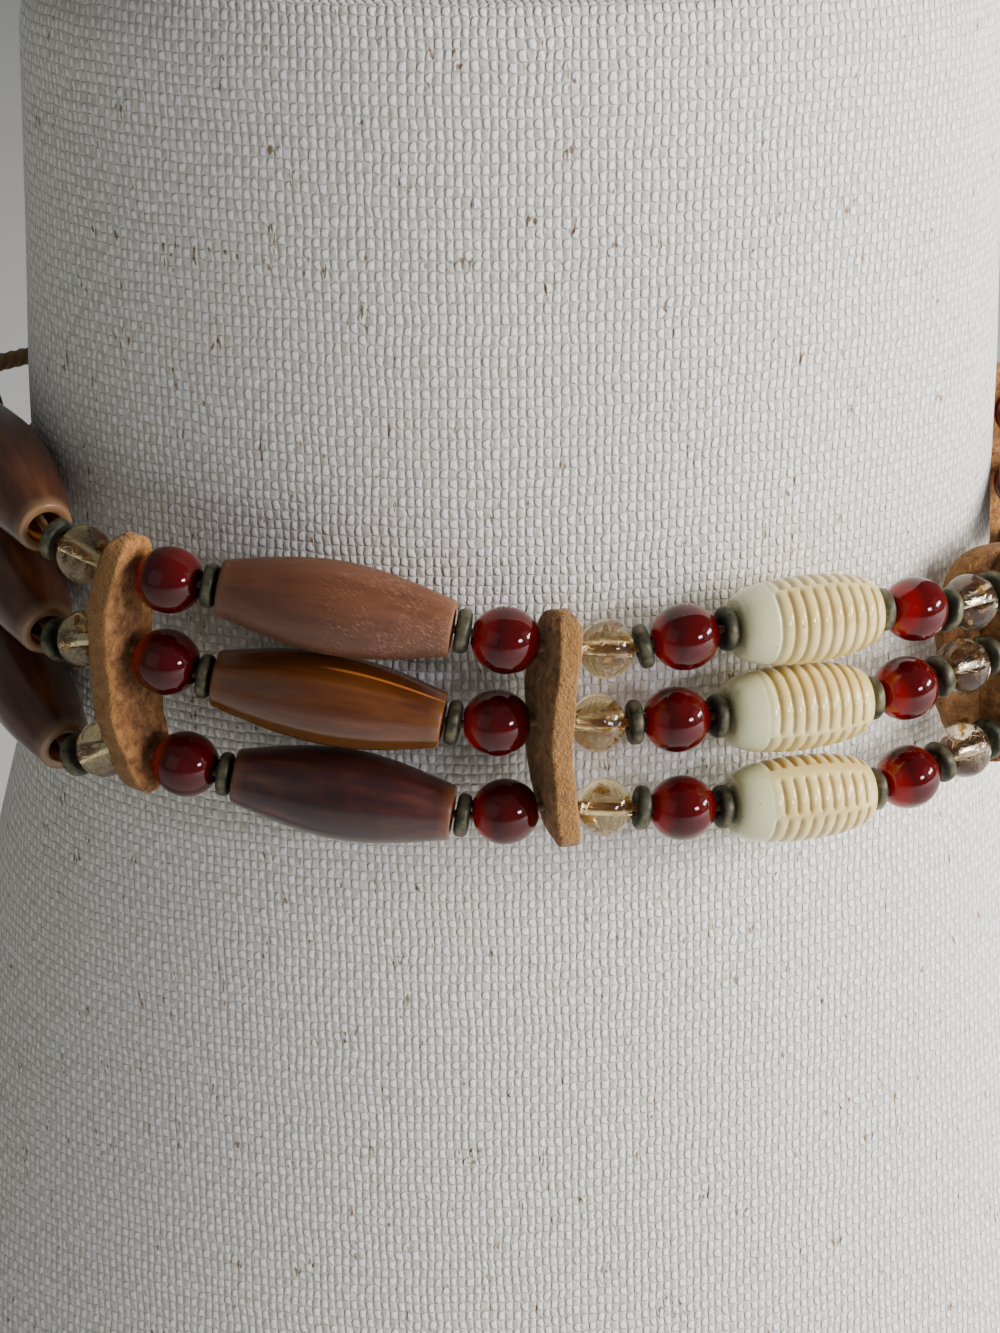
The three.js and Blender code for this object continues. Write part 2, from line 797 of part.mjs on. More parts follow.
laid.forEach(({ strand, units }, row) => {
  const first = units[0];
  const last = units[units.length - 1];
  const entry = (claspWidth / 2 - claspEntry) / neckRound.whole;
  const after = napeStations(
    strand,
    { point: last.to, axis: last.axis, share: last.shares[1], spread: last.spreads[1] },
    claspShare - entry,
  );
  const before = napeStations(
    strand,
    {
      point: first.from,
      axis: first.axis.clone().negate(),
      share: first.shares[0] + 1,
      spread: first.spreads[0],
    },
    claspShare + entry,
  );
  const rising = before.reverse().map((station) => ({
    ...station,
    axis: station.axis.clone().negate(),
  }));
  const stations = [...rising.slice(0, -1), ...cordStations(units), ...after];
  addMesh(`strand_${strand.name}`, closedTube(stations, beadSides), "cord");
  const counts = {};
  units.flatMap((unit) => unit.pieces).forEach((piece) => {
    const kind = piece.kind;
    if (kind === "hairpipe") {
      const mesh = addMesh(
        `hairpipe_${strand.name}_${piece.section}`, hairpipeGeometry(piece.length), "hairpipe");
      placeBead(mesh, piece);
    } else if (kind === "ribbed") {
      placeBead(addMesh(`ribbed_bead_${strand.name}`, ribbedGeometry(), "ribbed"), piece);
    } else if (kind === "carnelian") {
      counts[kind] = (counts[kind] ?? 0) + 1;
      const name = `carnelian_${strand.name}_${counts[kind]}`;
      placeBead(addMesh(name, carnelianGeometry(), "carnelian"), piece);
    }
  });
});

const barsOf = laid.map(({ units }) => (
  units.flatMap((unit) => unit.pieces).filter((piece) => piece.kind === "bar")
));
barsOf[0].forEach((_, index) => {
  const pieces = [barsOf[2][index], barsOf[1][index], barsOf[0][index]];
  const points = pieces.map((piece) => piece.centre);
  const shape = barShapes[index];
  const axis = pieces[1].axis.clone()
    .applyAxisAngle(new THREE.Vector3(0, 0, 1), (shape.turn * Math.PI) / 180);
  const { matrix, holes } = plateFrame(points, axis);
  const holeRadius = cordRadius + boreClearance;
  const edges = barEdges(holes, shape);
  const geometry = bentPlate(holes, edges, barOverhang, holeRadius, barThickness);
  addMesh(`leather_bar_${index + 1}`, geometry.applyMatrix4(matrix), "leather");
});

const clasp = plateFrame([...claspPoints].reverse(), claspAxis);
const claspHole = napeCordDiameter / 2 + claspClearance;
const claspGeometry = bentPlate(
  clasp.holes, claspEdges(clasp.holes), claspOverhang, claspHole, claspWidth);
addMesh("clasp", claspGeometry.applyMatrix4(clasp.matrix), "clasp");

export default choker;
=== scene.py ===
"""Looks of the three-strand beaded choker on its linen neck bust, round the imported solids.

Everything is in metres in the part's own frame: +Z up, the front faces -Y. Small pieces that the
packed strands hold fused together (brass rondelles, crackled quartz rounds and the thread) are
made here one by one along the same route.
"""

from __future__ import annotations

import logging
import math
from dataclasses import dataclass, field
from enum import Enum

import bpy
import numpy as np
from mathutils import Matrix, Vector

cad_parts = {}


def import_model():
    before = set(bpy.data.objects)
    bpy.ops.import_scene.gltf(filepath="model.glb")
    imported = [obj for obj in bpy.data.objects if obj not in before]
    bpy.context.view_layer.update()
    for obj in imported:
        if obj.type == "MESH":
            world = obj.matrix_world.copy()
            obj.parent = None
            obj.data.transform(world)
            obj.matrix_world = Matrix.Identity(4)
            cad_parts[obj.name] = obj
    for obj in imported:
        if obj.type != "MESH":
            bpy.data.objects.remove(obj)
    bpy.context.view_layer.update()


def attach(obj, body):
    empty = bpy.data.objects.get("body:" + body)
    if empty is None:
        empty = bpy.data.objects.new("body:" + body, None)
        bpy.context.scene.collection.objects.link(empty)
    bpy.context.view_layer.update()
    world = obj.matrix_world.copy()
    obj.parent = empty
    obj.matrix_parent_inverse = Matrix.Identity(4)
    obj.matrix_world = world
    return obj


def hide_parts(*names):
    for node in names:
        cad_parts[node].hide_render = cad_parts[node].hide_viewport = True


LOG = logging.getLogger("choker")
MM = 0.001

# Joints of each strand's route in millimetres, from its -X end to its +X end. The pieces between
# two joints lie in one straight line.
JOINTS: dict[str, tuple[tuple[float, float, float], ...]] = {
    "top": (
        (-66.99, -0.80, 146.66), (-54.61, -31.17, 139.94), (-48.37, -36.12, 138.31),
        (-45.00, -38.08, 137.81), (-38.16, -41.11, 137.86), (-9.68, -47.20, 133.65),
        (-2.48, -47.59, 131.65), (1.64, -47.61, 131.37), (7.87, -47.46, 131.04),
        (9.71, -47.33, 131.44), (17.09, -46.59, 132.46), (37.22, -41.70, 131.80),
        (43.89, -38.75, 130.12), (45.49, -37.91, 129.55), (50.69, -34.47, 129.75),
        (55.49, -30.32, 130.21), (60.22, -24.49, 132.95), (67.56, 3.35, 136.59),
        (66.30, 11.22, 136.11), (64.93, 15.38, 136.78), (62.18, 20.94, 139.41),
        (35.37, 41.94, 144.15),
    ),
    "middle": (
        (-67.45, -0.94, 134.55), (-55.38, -31.37, 127.54), (-49.13, -36.16, 129.54),
        (-45.78, -38.17, 129.09), (-39.23, -41.29, 127.22), (-10.84, -47.76, 123.00),
        (-3.36, -48.08, 123.08), (0.81, -48.13, 122.79), (7.04, -48.01, 122.40),
        (8.93, -47.92, 122.37), (16.39, -47.29, 122.27), (36.57, -42.67, 121.37),
        (43.41, -39.65, 121.78), (45.06, -38.75, 121.95), (50.33, -35.41, 122.09),
        (55.24, -31.38, 122.32), (60.58, -25.44, 122.28), (68.37, 3.23, 125.87),
        (67.03, 10.95, 127.45), (65.67, 15.11, 128.11), (62.77, 21.16, 128.76),
        (35.90, 42.09, 133.49),
    ),
    "bottom": (
        (-68.51, -2.70, 121.57), (-54.22, -34.21, 114.20), (-47.82, -38.02, 117.46),
        (-44.42, -39.90, 116.85), (-37.62, -42.87, 115.87), (-9.99, -48.90, 112.14),
        (-2.56, -49.05, 113.07), (1.69, -49.10, 112.78), (7.92, -48.98, 112.36),
        (9.79, -48.91, 112.12), (17.22, -48.34, 111.41), (37.40, -43.76, 110.30),
        (44.18, -40.68, 111.17), (45.79, -39.77, 111.53), (51.08, -36.46, 111.73),
        (56.01, -32.46, 112.02), (61.53, -26.76, 111.07), (69.64, 3.78, 114.80),
        (67.94, 11.07, 117.60), (66.52, 15.22, 118.27), (63.78, 21.34, 117.65),
        (37.03, 42.43, 122.39),
    ),
}

# Bare cord at the nape, in millimetres: from the -X end and from the +X end to the clasp.
NAPE: dict[str, tuple[tuple[tuple[float, float, float], ...], ...]] = {
    "top": (
        (
            (-66.99, -0.80, 146.66), (-67.81, 1.20, 147.10), (-64.40, 7.31, 146.95),
            (-58.87, 13.98, 146.25), (-54.15, 19.83, 146.22), (-49.49, 25.34, 146.60),
            (-43.98, 29.94, 146.77), (-38.11, 34.08, 146.84), (-32.01, 38.17, 146.87),
            (-25.29, 41.10, 146.70),
        ),
        (
            (35.37, 41.94, 144.15), (33.65, 43.29, 144.45), (27.53, 42.73, 144.30),
            (19.64, 41.33, 143.78), (12.43, 41.18, 143.91), (5.41, 41.71, 144.46),
            (-1.61, 41.80, 144.94), (-8.66, 41.97, 145.48), (-15.86, 42.37, 146.10),
            (-23.08, 41.66, 146.60),
        ),
    ),
    "middle": (
        (
            (-67.45, -0.94, 134.55), (-68.24, 1.06, 135.01), (-64.84, 7.24, 135.66),
            (-59.27, 13.98, 136.37), (-54.51, 19.88, 136.90), (-49.82, 25.44, 137.32),
            (-44.27, 30.09, 137.54), (-38.35, 34.26, 137.66), (-32.20, 38.37, 137.75),
            (-25.43, 41.31, 137.64),
        ),
        (
            (35.90, 42.09, 133.49), (34.18, 43.43, 133.79), (27.95, 42.90, 134.17),
            (19.97, 41.52, 134.54), (12.67, 41.38, 134.98), (5.58, 41.94, 135.51),
            (-1.51, 42.04, 135.99), (-8.63, 42.21, 136.51), (-15.92, 42.61, 137.10),
            (-23.21, 41.88, 137.55),
        ),
    ),
    "bottom": (
        (
            (-68.51, -2.70, 121.57), (-69.40, -0.74, 122.03), (-66.04, 5.85, 123.48),
            (-60.49, 13.06, 125.47), (-55.71, 19.34, 126.55), (-50.94, 25.21, 127.08),
            (-45.24, 30.10, 127.42), (-39.12, 34.47, 127.66), (-32.73, 38.70, 127.87),
            (-25.71, 41.74, 127.87),
        ),
        (
            (37.03, 42.43, 122.39), (35.32, 43.78, 122.70), (28.88, 43.34, 123.51),
            (20.67, 41.98, 124.63), (13.19, 41.87, 125.39), (5.94, 42.44, 125.94),
            (-1.31, 42.54, 126.44), (-8.59, 42.70, 126.93), (-16.02, 43.07, 127.46),
            (-23.46, 42.32, 127.81),
        ),
    ),
}
CLASP_HOLES = ((-24.59, 42.03, 127.84), (-24.32, 41.61, 137.60), (-24.19, 41.39, 146.65))
CLASP_AXIS = (-0.96, -0.27, 0.04)


class Bead(Enum):
    """What can be strung on a strand."""

    RING = "ring"
    CARNELIAN = "carnelian"
    QUARTZ = "quartz"
    HAIRPIPE = "hairpipe"
    RIBBED = "ribbed"
    BAR = "bar"


# Millimetres of grain between one piece of a kind and the next.
GRAIN_STEP = {
    Bead.RING: 11.0,
    Bead.QUARTZ: 17.0,
    Bead.CARNELIAN: 23.0,
    Bead.HAIRPIPE: 31.0,
    Bead.BAR: 40.0,
    Bead.RIBBED: 41.0,
}

BAR_THICKNESS = 2.8 * MM
PIPE_LENGTH, SHORT_PIPE, LONG_PIPE = 25.3 * MM, 24.4 * MM, 27.2 * MM


@dataclass(frozen=True)
class Gaps:
    """Room between strung pieces, in metres."""

    bead: float = 0.34 * MM
    bar_ring: float = 1.2745 * MM
    bar_end: float = 0.5647 * MM
    corner_slack: float = 0.25 * MM
    open_corner: float = 1.65 * MM

    def between(self, kind: Bead, following: Bead) -> float:
        """Gap from one piece to the next in a straight unit."""
        pair = {kind, following}
        return self.bar_ring if pair == {Bead.RING, Bead.BAR} else self.bead

    def end(self, kind: Bead) -> float:
        """Gap from a unit's end to its first or last piece."""
        special = {Bead.BAR: self.bar_end, Bead.HAIRPIPE: self.open_corner}
        return special.get(kind, self.bead / 2)


@dataclass(frozen=True)
class Placed:
    """A strung piece in its place: centre and axis in the part's frame."""

    kind: Bead
    section: str
    length: float
    centre: np.ndarray
    axis: np.ndarray


def unit_list() -> list[tuple[str, bool, tuple[Bead, ...]]]:
    """Units of a strand from its -X end to its +X end.

    Returns:
        For each unit its section, whether it has corner slack, and its pieces in order.
    """
    ring, bar = Bead.RING, Bead.BAR
    pipe = (ring, Bead.HAIRPIPE, ring)
    ribbed = (ring, Bead.RIBBED, ring)
    red, quartz = (Bead.CARNELIAN,), (Bead.QUARTZ,)
    left = [("left_end", False, (bar, ring, Bead.HAIRPIPE)), ("left_end", False, (ring, *quartz))]
    left += [("left", False, unit) for unit in ((bar,), red, pipe, red)]
    middle = [("centre", False, (bar,))]
    centre = (quartz, (ring,), red, ribbed, red, (ring,), quartz, (ring, bar))
    middle += [("centre", False, unit) for unit in centre]
    right = [("right", True, unit) for unit in (red, pipe, red, (bar,))]
    right += [("right_end", True, quartz), ("right_end", True, (*pipe, bar))]
    return left + middle + right


# Meshes


def even_angles(sides: int) -> np.ndarray:
    """Evenly spaced angles all the way round."""
    return np.linspace(0, 2 * math.pi, sides, endpoint=False)


def spread(values: np.ndarray, sides: int) -> np.ndarray:
    """Each row's value repeated all round it: rows by sides."""
    return np.repeat(values[:, None], sides, axis=1)


def direction_of(vector: np.ndarray) -> np.ndarray:
    """The vector at length 1."""
    return vector / np.linalg.norm(vector)


def axis_frame(axis: np.ndarray) -> np.ndarray:
    """Frame of a strung piece, with rows along its axis, outwards from the neck, and up.

    Args:
        axis: Unit direction of the string, which is never upright.

    Returns:
        3 by 3 array of unit rows.
    """
    out = direction_of(np.array([axis[1], -axis[0], 0.0]))
    return np.array([axis, out, np.cross(out, axis)])


def grid_quads(rows: int, columns: int, wrap_rows: bool = False) -> np.ndarray:
    """Quads of a grid whose columns close round, and whose rows may too.

    Args:
        rows: Number of rows of vertices.
        columns: Number of vertices in a row.
        wrap_rows: Whether the last row joins the first.

    Returns:
        Array of four vertex numbers per quad.
    """
    row = np.arange(rows if wrap_rows else rows - 1)[:, None]
    column = np.arange(columns)[None, :]
    low, high = row * columns, ((row + 1) % rows) * columns
    after = (column + 1) % columns
    quads = np.stack([low + column, low + after, high + after, high + column], axis=-1)
    return quads.reshape(-1, 4)


def pole_fans(rows: int, columns: int) -> np.ndarray:
    """Triangles that close a grid's first and last rows, each to a pole vertex of its own.

    Args:
        rows: Number of rows of vertices.
        columns: Number of vertices in a row.

    Returns:
        Array of three vertex numbers per triangle. The poles follow the grid's own vertices.
    """
    column = np.arange(columns)
    after = (column + 1) % columns
    last = (rows - 1) * columns
    south, north = rows * columns, rows * columns + 1
    first = np.stack([np.full(columns, south), after, column], axis=-1)
    second = np.stack([np.full(columns, north), last + column, last + after], axis=-1)
    return np.concatenate([first, second])


def signed_volume(points: np.ndarray, faces: np.ndarray) -> float:
    """Volume inside closed faces, negative where they point inwards.

    Each face is split into a fan of triangles, and each triangle a, b, c adds a.(b x c)/6.

    Args:
        points: Vertices, one row each.
        faces: Vertex numbers, one row per face.

    Returns:
        The volume in cubic metres.
    """
    total = 0.0
    for corner in range(1, faces.shape[1] - 1):
        a, b, c = (points[faces[:, i]] for i in (0, corner, corner + 1))
        total += float(np.einsum("ij,ij->", a, np.cross(b, c))) / 6
    return total


@dataclass
class Shell:
    """Closed surfaces gathered into one mesh, with a pattern position for each vertex."""

    points: list[np.ndarray] = field(default_factory=list)
    faces: list[list[list[int]]] = field(default_factory=list)
    grain: list[np.ndarray] = field(default_factory=list)
    shade: list[np.ndarray] = field(default_factory=list)
    count: int = 0

    def add(
        self,
        points: np.ndarray,
        face_sets: list[np.ndarray],
        grain: np.ndarray,
        shade: np.ndarray | None = None,
    ) -> None:
        """Adds one closed surface, turned so that its faces point outwards.

        Args:
            points: Vertices, one row each.
            face_sets: Arrays of faces, each of one corner count.
            grain: Pattern position of each vertex, in millimetres of the piece's own frame.
            shade: One more number per vertex for the finish, such as the depth of a groove.
        """
        middle = points.mean(axis=0)
        volume = sum(signed_volume(points - middle, faces) for faces in face_sets)
        for faces in face_sets:
            turned = faces[:, ::-1] if volume < 0 else faces
            self.faces.append((turned + self.count).tolist())
        self.points.append(points)
        self.grain.append(grain)
        self.shade.append(np.zeros(len(points)) if shade is None else shade)
        self.count += len(points)

    def make(self, name: str, smooth: bool = True) -> bpy.types.Object:
        """Makes the Blender object, which sits at the origin.

        Args:
            name: Its name.
            smooth: Whether its faces are shaded as one round surface.

        Returns:
            The object, with its grain and shade attributes.
        """
        mesh = bpy.data.meshes.new(name)
        faces = [face for group in self.faces for face in group]
        mesh.from_pydata(np.concatenate(self.points).tolist(), [], faces)
        mesh.update()
        mesh.shade_smooth() if smooth else mesh.shade_flat()
        grain = mesh.attributes.new("grain", "FLOAT_VECTOR", "POINT")
        grain.data.foreach_set("vector", np.concatenate(self.grain).astype(np.float32).ravel())
        shade = mesh.attributes.new("shade", "FLOAT", "POINT")
        shade.data.foreach_set("value", np.concatenate(self.shade).astype(np.float32))
        piece = bpy.data.objects.new(name, mesh)
        bpy.context.scene.collection.objects.link(piece)
        return piece


def turned_points(along: np.ndarray, radius: np.ndarray, sides: int) -> np.ndarray:
    """Points of a turned form: (along, radius cos angle, radius sin angle).

    Args:
        along: Places along the axis, one per row, or rows by sides.
        radius: Radii there, in the same shape.
        sides: Number of points round the axis.

    Returns:
        Local points, rows by sides by 3.
    """
    angle = even_angles(sides)
    along, radius = (x if x.ndim > 1 else spread(x, sides) for x in (along, radius))
    return np.stack([along, radius * np.cos(angle), radius * np.sin(angle)], axis=-1)


def add_turned(
    shell: Shell, place: Placed, local: np.ndarray, seed: int, shade: np.ndarray | None = None
) -> None:
    """Adds a drilled form, whose profile closes on itself through its bore, at a place.

    Args:
        shell: Where it goes.
        place: The strung piece that it is.
        local: Points in the piece's own frame, rows by sides by 3.
        seed: Moves its grain, so that no two pieces look alike.
        shade: Rows by sides of the finish's number.
    """
    flat = local.reshape(-1, 3)
    points = place.centre + flat @ axis_frame(place.axis)
    quads = grid_quads(local.shape[0], local.shape[1], wrap_rows=True)
    grain = flat / MM + GRAIN_STEP[place.kind] * seed
    shell.add(points, [quads], grain, None if shade is None else shade.ravel())


def smooth_step(share: np.ndarray) -> np.ndarray:
    """Eased share: 3 s^2 - 2 s^3 between 0 and 1."""
    held = np.clip(share, 0.0, 1.0)
    return held * held * (3 - 2 * held)


def bore_rows(half: float, radius: float, rows: int) -> tuple[np.ndarray, np.ndarray]:
    """Rows of a straight bore, from the +X end back to the -X end."""
    along = np.linspace(half, -half, rows)
    return along, np.full(rows, radius)


# Finishes

Socket = bpy.types.NodeSocket
Value = float | tuple[float, ...] | Socket

# A Mix node has sockets for numbers, vectors and colours under the same names. These are the
# colours' places among its inputs and outputs.
MIX_FIRST, MIX_SECOND, MIX_RESULT = 6, 7, 2


class NodeBoard:
    """Short calls that lay out one material's nodes."""

    def __init__(self, name: str) -> None:
        """Starts a material with one Principled shader.

        Args:
            name: The material's name.
        """
        self.material = bpy.data.materials.new(name)
        self.material.use_nodes = True
        self.tree = self.material.node_tree
        self.shader = self.tree.nodes["Principled BSDF"]

    def put(self, socket: Socket, value: Value) -> None:
        """Links a socket to another, or sets its own value.

        Args:
            socket: The input.
            value: An output, a number or a colour.
        """
        if isinstance(value, bpy.types.NodeSocket):
            self.tree.links.new(value, socket)
        elif isinstance(value, tuple) and socket.type == "RGBA":
            socket.default_value = (*value[:3], 1.0)
        else:
            socket.default_value = value

    def node(self, kind: str, **inputs: Value) -> bpy.types.Node:
        """Adds a node.

        Args:
            kind: Its type.
            inputs: Its inputs by name, with _ for a space.

        Returns:
            The node.
        """
        made = self.tree.nodes.new(kind)
        for name, value in inputs.items():
            self.put(made.inputs[name.replace("_", " ")], value)
        return made

    def finish(self, **inputs: Value) -> bpy.types.Material:
        """Sets the shader's inputs by name and returns the material."""
        for name, value in inputs.items():
            self.put(self.shader.inputs[name.replace("_", " ")], value)
        return self.material

    def attribute(self, name: str, output: str = "Vector") -> Socket:
        """Output of one of the mesh's own attributes."""
        made = self.tree.nodes.new("ShaderNodeAttribute")
        made.attribute_name = name
        return made.outputs[output]

    def stretched(self, vector: Socket, scale: tuple[float, float, float]) -> Socket:
        """Vector times a scale per axis."""
        made = self.node("ShaderNodeMapping", Vector=vector, Scale=scale)
        return made.outputs["Vector"]

    def shifted(self, vector: Socket, by: Socket, amount: float) -> Socket:
        """Vector moved by another one, centred on a half, times an amount."""
        centred = self.vector_math("SUBTRACT", by, (0.5, 0.5, 0.5))
        scaled = self.vector_math("MULTIPLY", centred, (amount, amount, amount))
        return self.vector_math("ADD", vector, scaled)

    def vector_math(self, operation: str, a: Value, b: Value) -> Socket:
        """Vector sum, difference or product.

        Args:
            operation: Its name.
            a: First vector.
            b: Second vector.

        Returns:
            The vector.
        """
        made = self.tree.nodes.new("ShaderNodeVectorMath")
        made.operation = operation
        self.put(made.inputs[0], a)
        self.put(made.inputs[1], b)
        return made.outputs["Vector"]

    def math(self, operation: str, a: Value, b: Value = 0.0) -> Socket:
        """One arithmetic step.

        Args:
            operation: Its name.
            a: First number.
            b: Second number.

        Returns:
            The number.
        """
        made = self.tree.nodes.new("ShaderNodeMath")
        made.operation = operation
        self.put(made.inputs[0], a)
        self.put(made.inputs[1], b)
        return made.outputs["Value"]

    def times(self, a: Value, b: Value) -> Socket:
        """Product of two numbers."""
        return self.math("MULTIPLY", a, b)

    def split(self, vector: Socket) -> list[Socket]:
        """The three numbers of a vector."""
        return list(self.node("ShaderNodeSeparateXYZ", Vector=vector).outputs)

    def noise(
        self, vector: Socket, scale: float, detail: float = 3.0, output: str = "Fac"
    ) -> Socket:
        """Noise of a scale per millimetre."""
        made = self.node("ShaderNodeTexNoise", Vector=vector, Scale=scale, Detail=detail)
        return made.outputs[output]

    def ramp(self, value: Socket, *stops: tuple[float, tuple[float, ...]]) -> Socket:
        """Colour of a value between stops.

        Args:
            value: A number.
            stops: Each a place and its colour.

        Returns:
            The colour.
        """
        made = self.node("ShaderNodeValToRGB", Fac=value)
        elements = made.color_ramp.elements
        while len(elements) < len(stops):
            elements.new(0.5)
        for element, (place, colour) in zip(elements, stops):
            element.position = place
            element.color = (*colour, 1.0)
        return made.outputs["Color"]

    def band(self, value: Socket, low: float, high: float) -> Socket:
        """Value eased from 0 to 1.

        Args:
            value: A number.
            low: Where it is 0.
            high: Where it is 1, which may be the smaller.

        Returns:
            The eased number.
        """
        made = self.node("ShaderNodeMapRange", Value=value)
        made.interpolation_type = "SMOOTHSTEP"
        limits = (low, high, 0.0, 1.0) if low < high else (high, low, 1.0, 0.0)
        for name, limit in zip(("From Min", "From Max", "To Min", "To Max"), limits):
            made.inputs[name].default_value = limit
        return made.outputs["Result"]

    def scale_range(self, value: Socket, low: float, high: float) -> Socket:
        """Value from 0 to 1 stretched to other limits.

        Args:
            value: A number.
            low: What 0 becomes.
            high: What 1 becomes.

        Returns:
            The number, held between the two.
        """
        made = self.node("ShaderNodeMapRange", Value=value)
        made.inputs["To Min"].default_value = low
        made.inputs["To Max"].default_value = high
        return made.outputs["Result"]

    def blend(self, factor: Value, a: Value, b: Value) -> Socket:
        """Mix of two colours.

        Args:
            factor: Share of the second one.
            a: First colour.
            b: Second colour.

        Returns:
            The colour.
        """
        made = self.tree.nodes.new("ShaderNodeMix")
        made.data_type = "RGBA"
        self.put(made.inputs["Factor"], factor)
        self.put(made.inputs[MIX_FIRST], a)
        self.put(made.inputs[MIX_SECOND], b)
        return made.outputs[MIX_RESULT]

    def tint(self, colour: Value, other: Value, *shares: Value) -> Socket:
        """Colour mixed towards another one.

        Args:
            colour: The colour.
            other: The other one.
            shares: Numbers whose product is its share.

        Returns:
            The colour.
        """
        factor = shares[0]
        for share in shares[1:]:
            factor = self.times(factor, share)
        return self.blend(factor, colour, other)

    def bump(self, height: Socket, depth: float, strength: float = 1.0) -> None:
        """Bump of the shader's normal, depth in metres."""
        made = self.node("ShaderNodeBump", Height=height, Strength=strength, Distance=depth)
        self.tree.links.new(made.outputs["Normal"], self.shader.inputs["Normal"])


Colour = tuple[float, float, float]


@dataclass(frozen=True)
class LinenFinish:
    """Plain-woven natural linen: pale warp dashes over greyer weft, with slubs and flecks, and
    painted shade between the threads.
    """

    warp_pitch: float = 0.92
    weft_pitch: float = 1.12
    # Colour of the painted shade in the hollows between threads.
    gap: Colour = (0.45, 0.42, 0.34)
    weft: Colour = (0.60, 0.575, 0.49)
    warp: Colour = (0.97, 0.96, 0.92)
    fleck: Colour = (0.24, 0.16, 0.09)
    stain: Colour = (0.72, 0.66, 0.55)

    def material(self) -> bpy.types.Material:
        """Weave height is cos(pi u / pitch) cos(pi v / pitch): a warp dash where it is over 0.

        Returns:
            The material.
        """
        b = NodeBoard("linen")
        cloth = b.attribute("cloth")
        waver = b.noise(b.stretched(cloth, (0.5, 0.5, 1.0)), 0.35, 2.0, "Color")
        cloth_in = b.shifted(cloth, waver, 0.9)
        fine = b.noise(cloth, 1.3, 2.0, "Color")
        across, up, _ = b.split(b.shifted(cloth_in, fine, 0.42))
        warp = b.math("COSINE", b.times(across, math.pi / self.warp_pitch))
        weft = b.math("COSINE", b.times(up, math.pi / self.weft_pitch))
        over = b.times(warp, weft)
        raised = b.math("POWER", b.math("ABSOLUTE", over), 0.5)
        narrow = b.times(over, b.math("ABSOLUTE", warp))
        dash = b.band(narrow, 0.06, 0.45)
        uneven = b.noise(b.stretched(cloth, (1.6, 0.7, 1.0)), 1.0, 2.0)
        tone = b.times(b.band(uneven, 0.38, 0.72), 0.7)
        colour = b.blend(tone, self.weft, self.warp)
        # Painted shade: darker where the weave is low, between the threads.
        colour = b.tint(colour, self.gap, b.band(raised, 0.45, 0.08), 0.34)
        colour = b.tint(colour, self.warp, dash, b.scale_range(uneven, 0.6, 1.1))
        slub = b.noise(b.stretched(cloth, (2.6, 0.35, 1.0)), 0.9, 2.0)
        colour = b.tint(colour, self.weft, b.band(slub, 0.62, 0.75), 0.5)
        stain = b.noise(cloth, 0.045, 3.0)
        colour = b.tint(colour, self.stain, b.band(stain, 0.52, 0.75), 0.5)
        spots = b.noise(b.stretched(cloth, (1.0, 0.45, 1.0)), 0.42, 2.0)
        flecks = b.noise(b.stretched(cloth, (3.0, 0.9, 1.0)), 0.8, 1.0)
        speck = b.times(b.band(spots, 0.61, 0.66), b.band(flecks, 0.57, 0.65))
        colour = b.tint(colour, self.fleck, speck)
        height = b.math("ADD", raised, b.times(dash, 0.7))
        height = b.math("ADD", height, b.times(uneven, 0.5))
        b.bump(height, 0.14 * MM)
        return b.finish(Base_Color=colour, Roughness=0.93, Sheen_Weight=0.18, Sheen_Roughness=0.6)


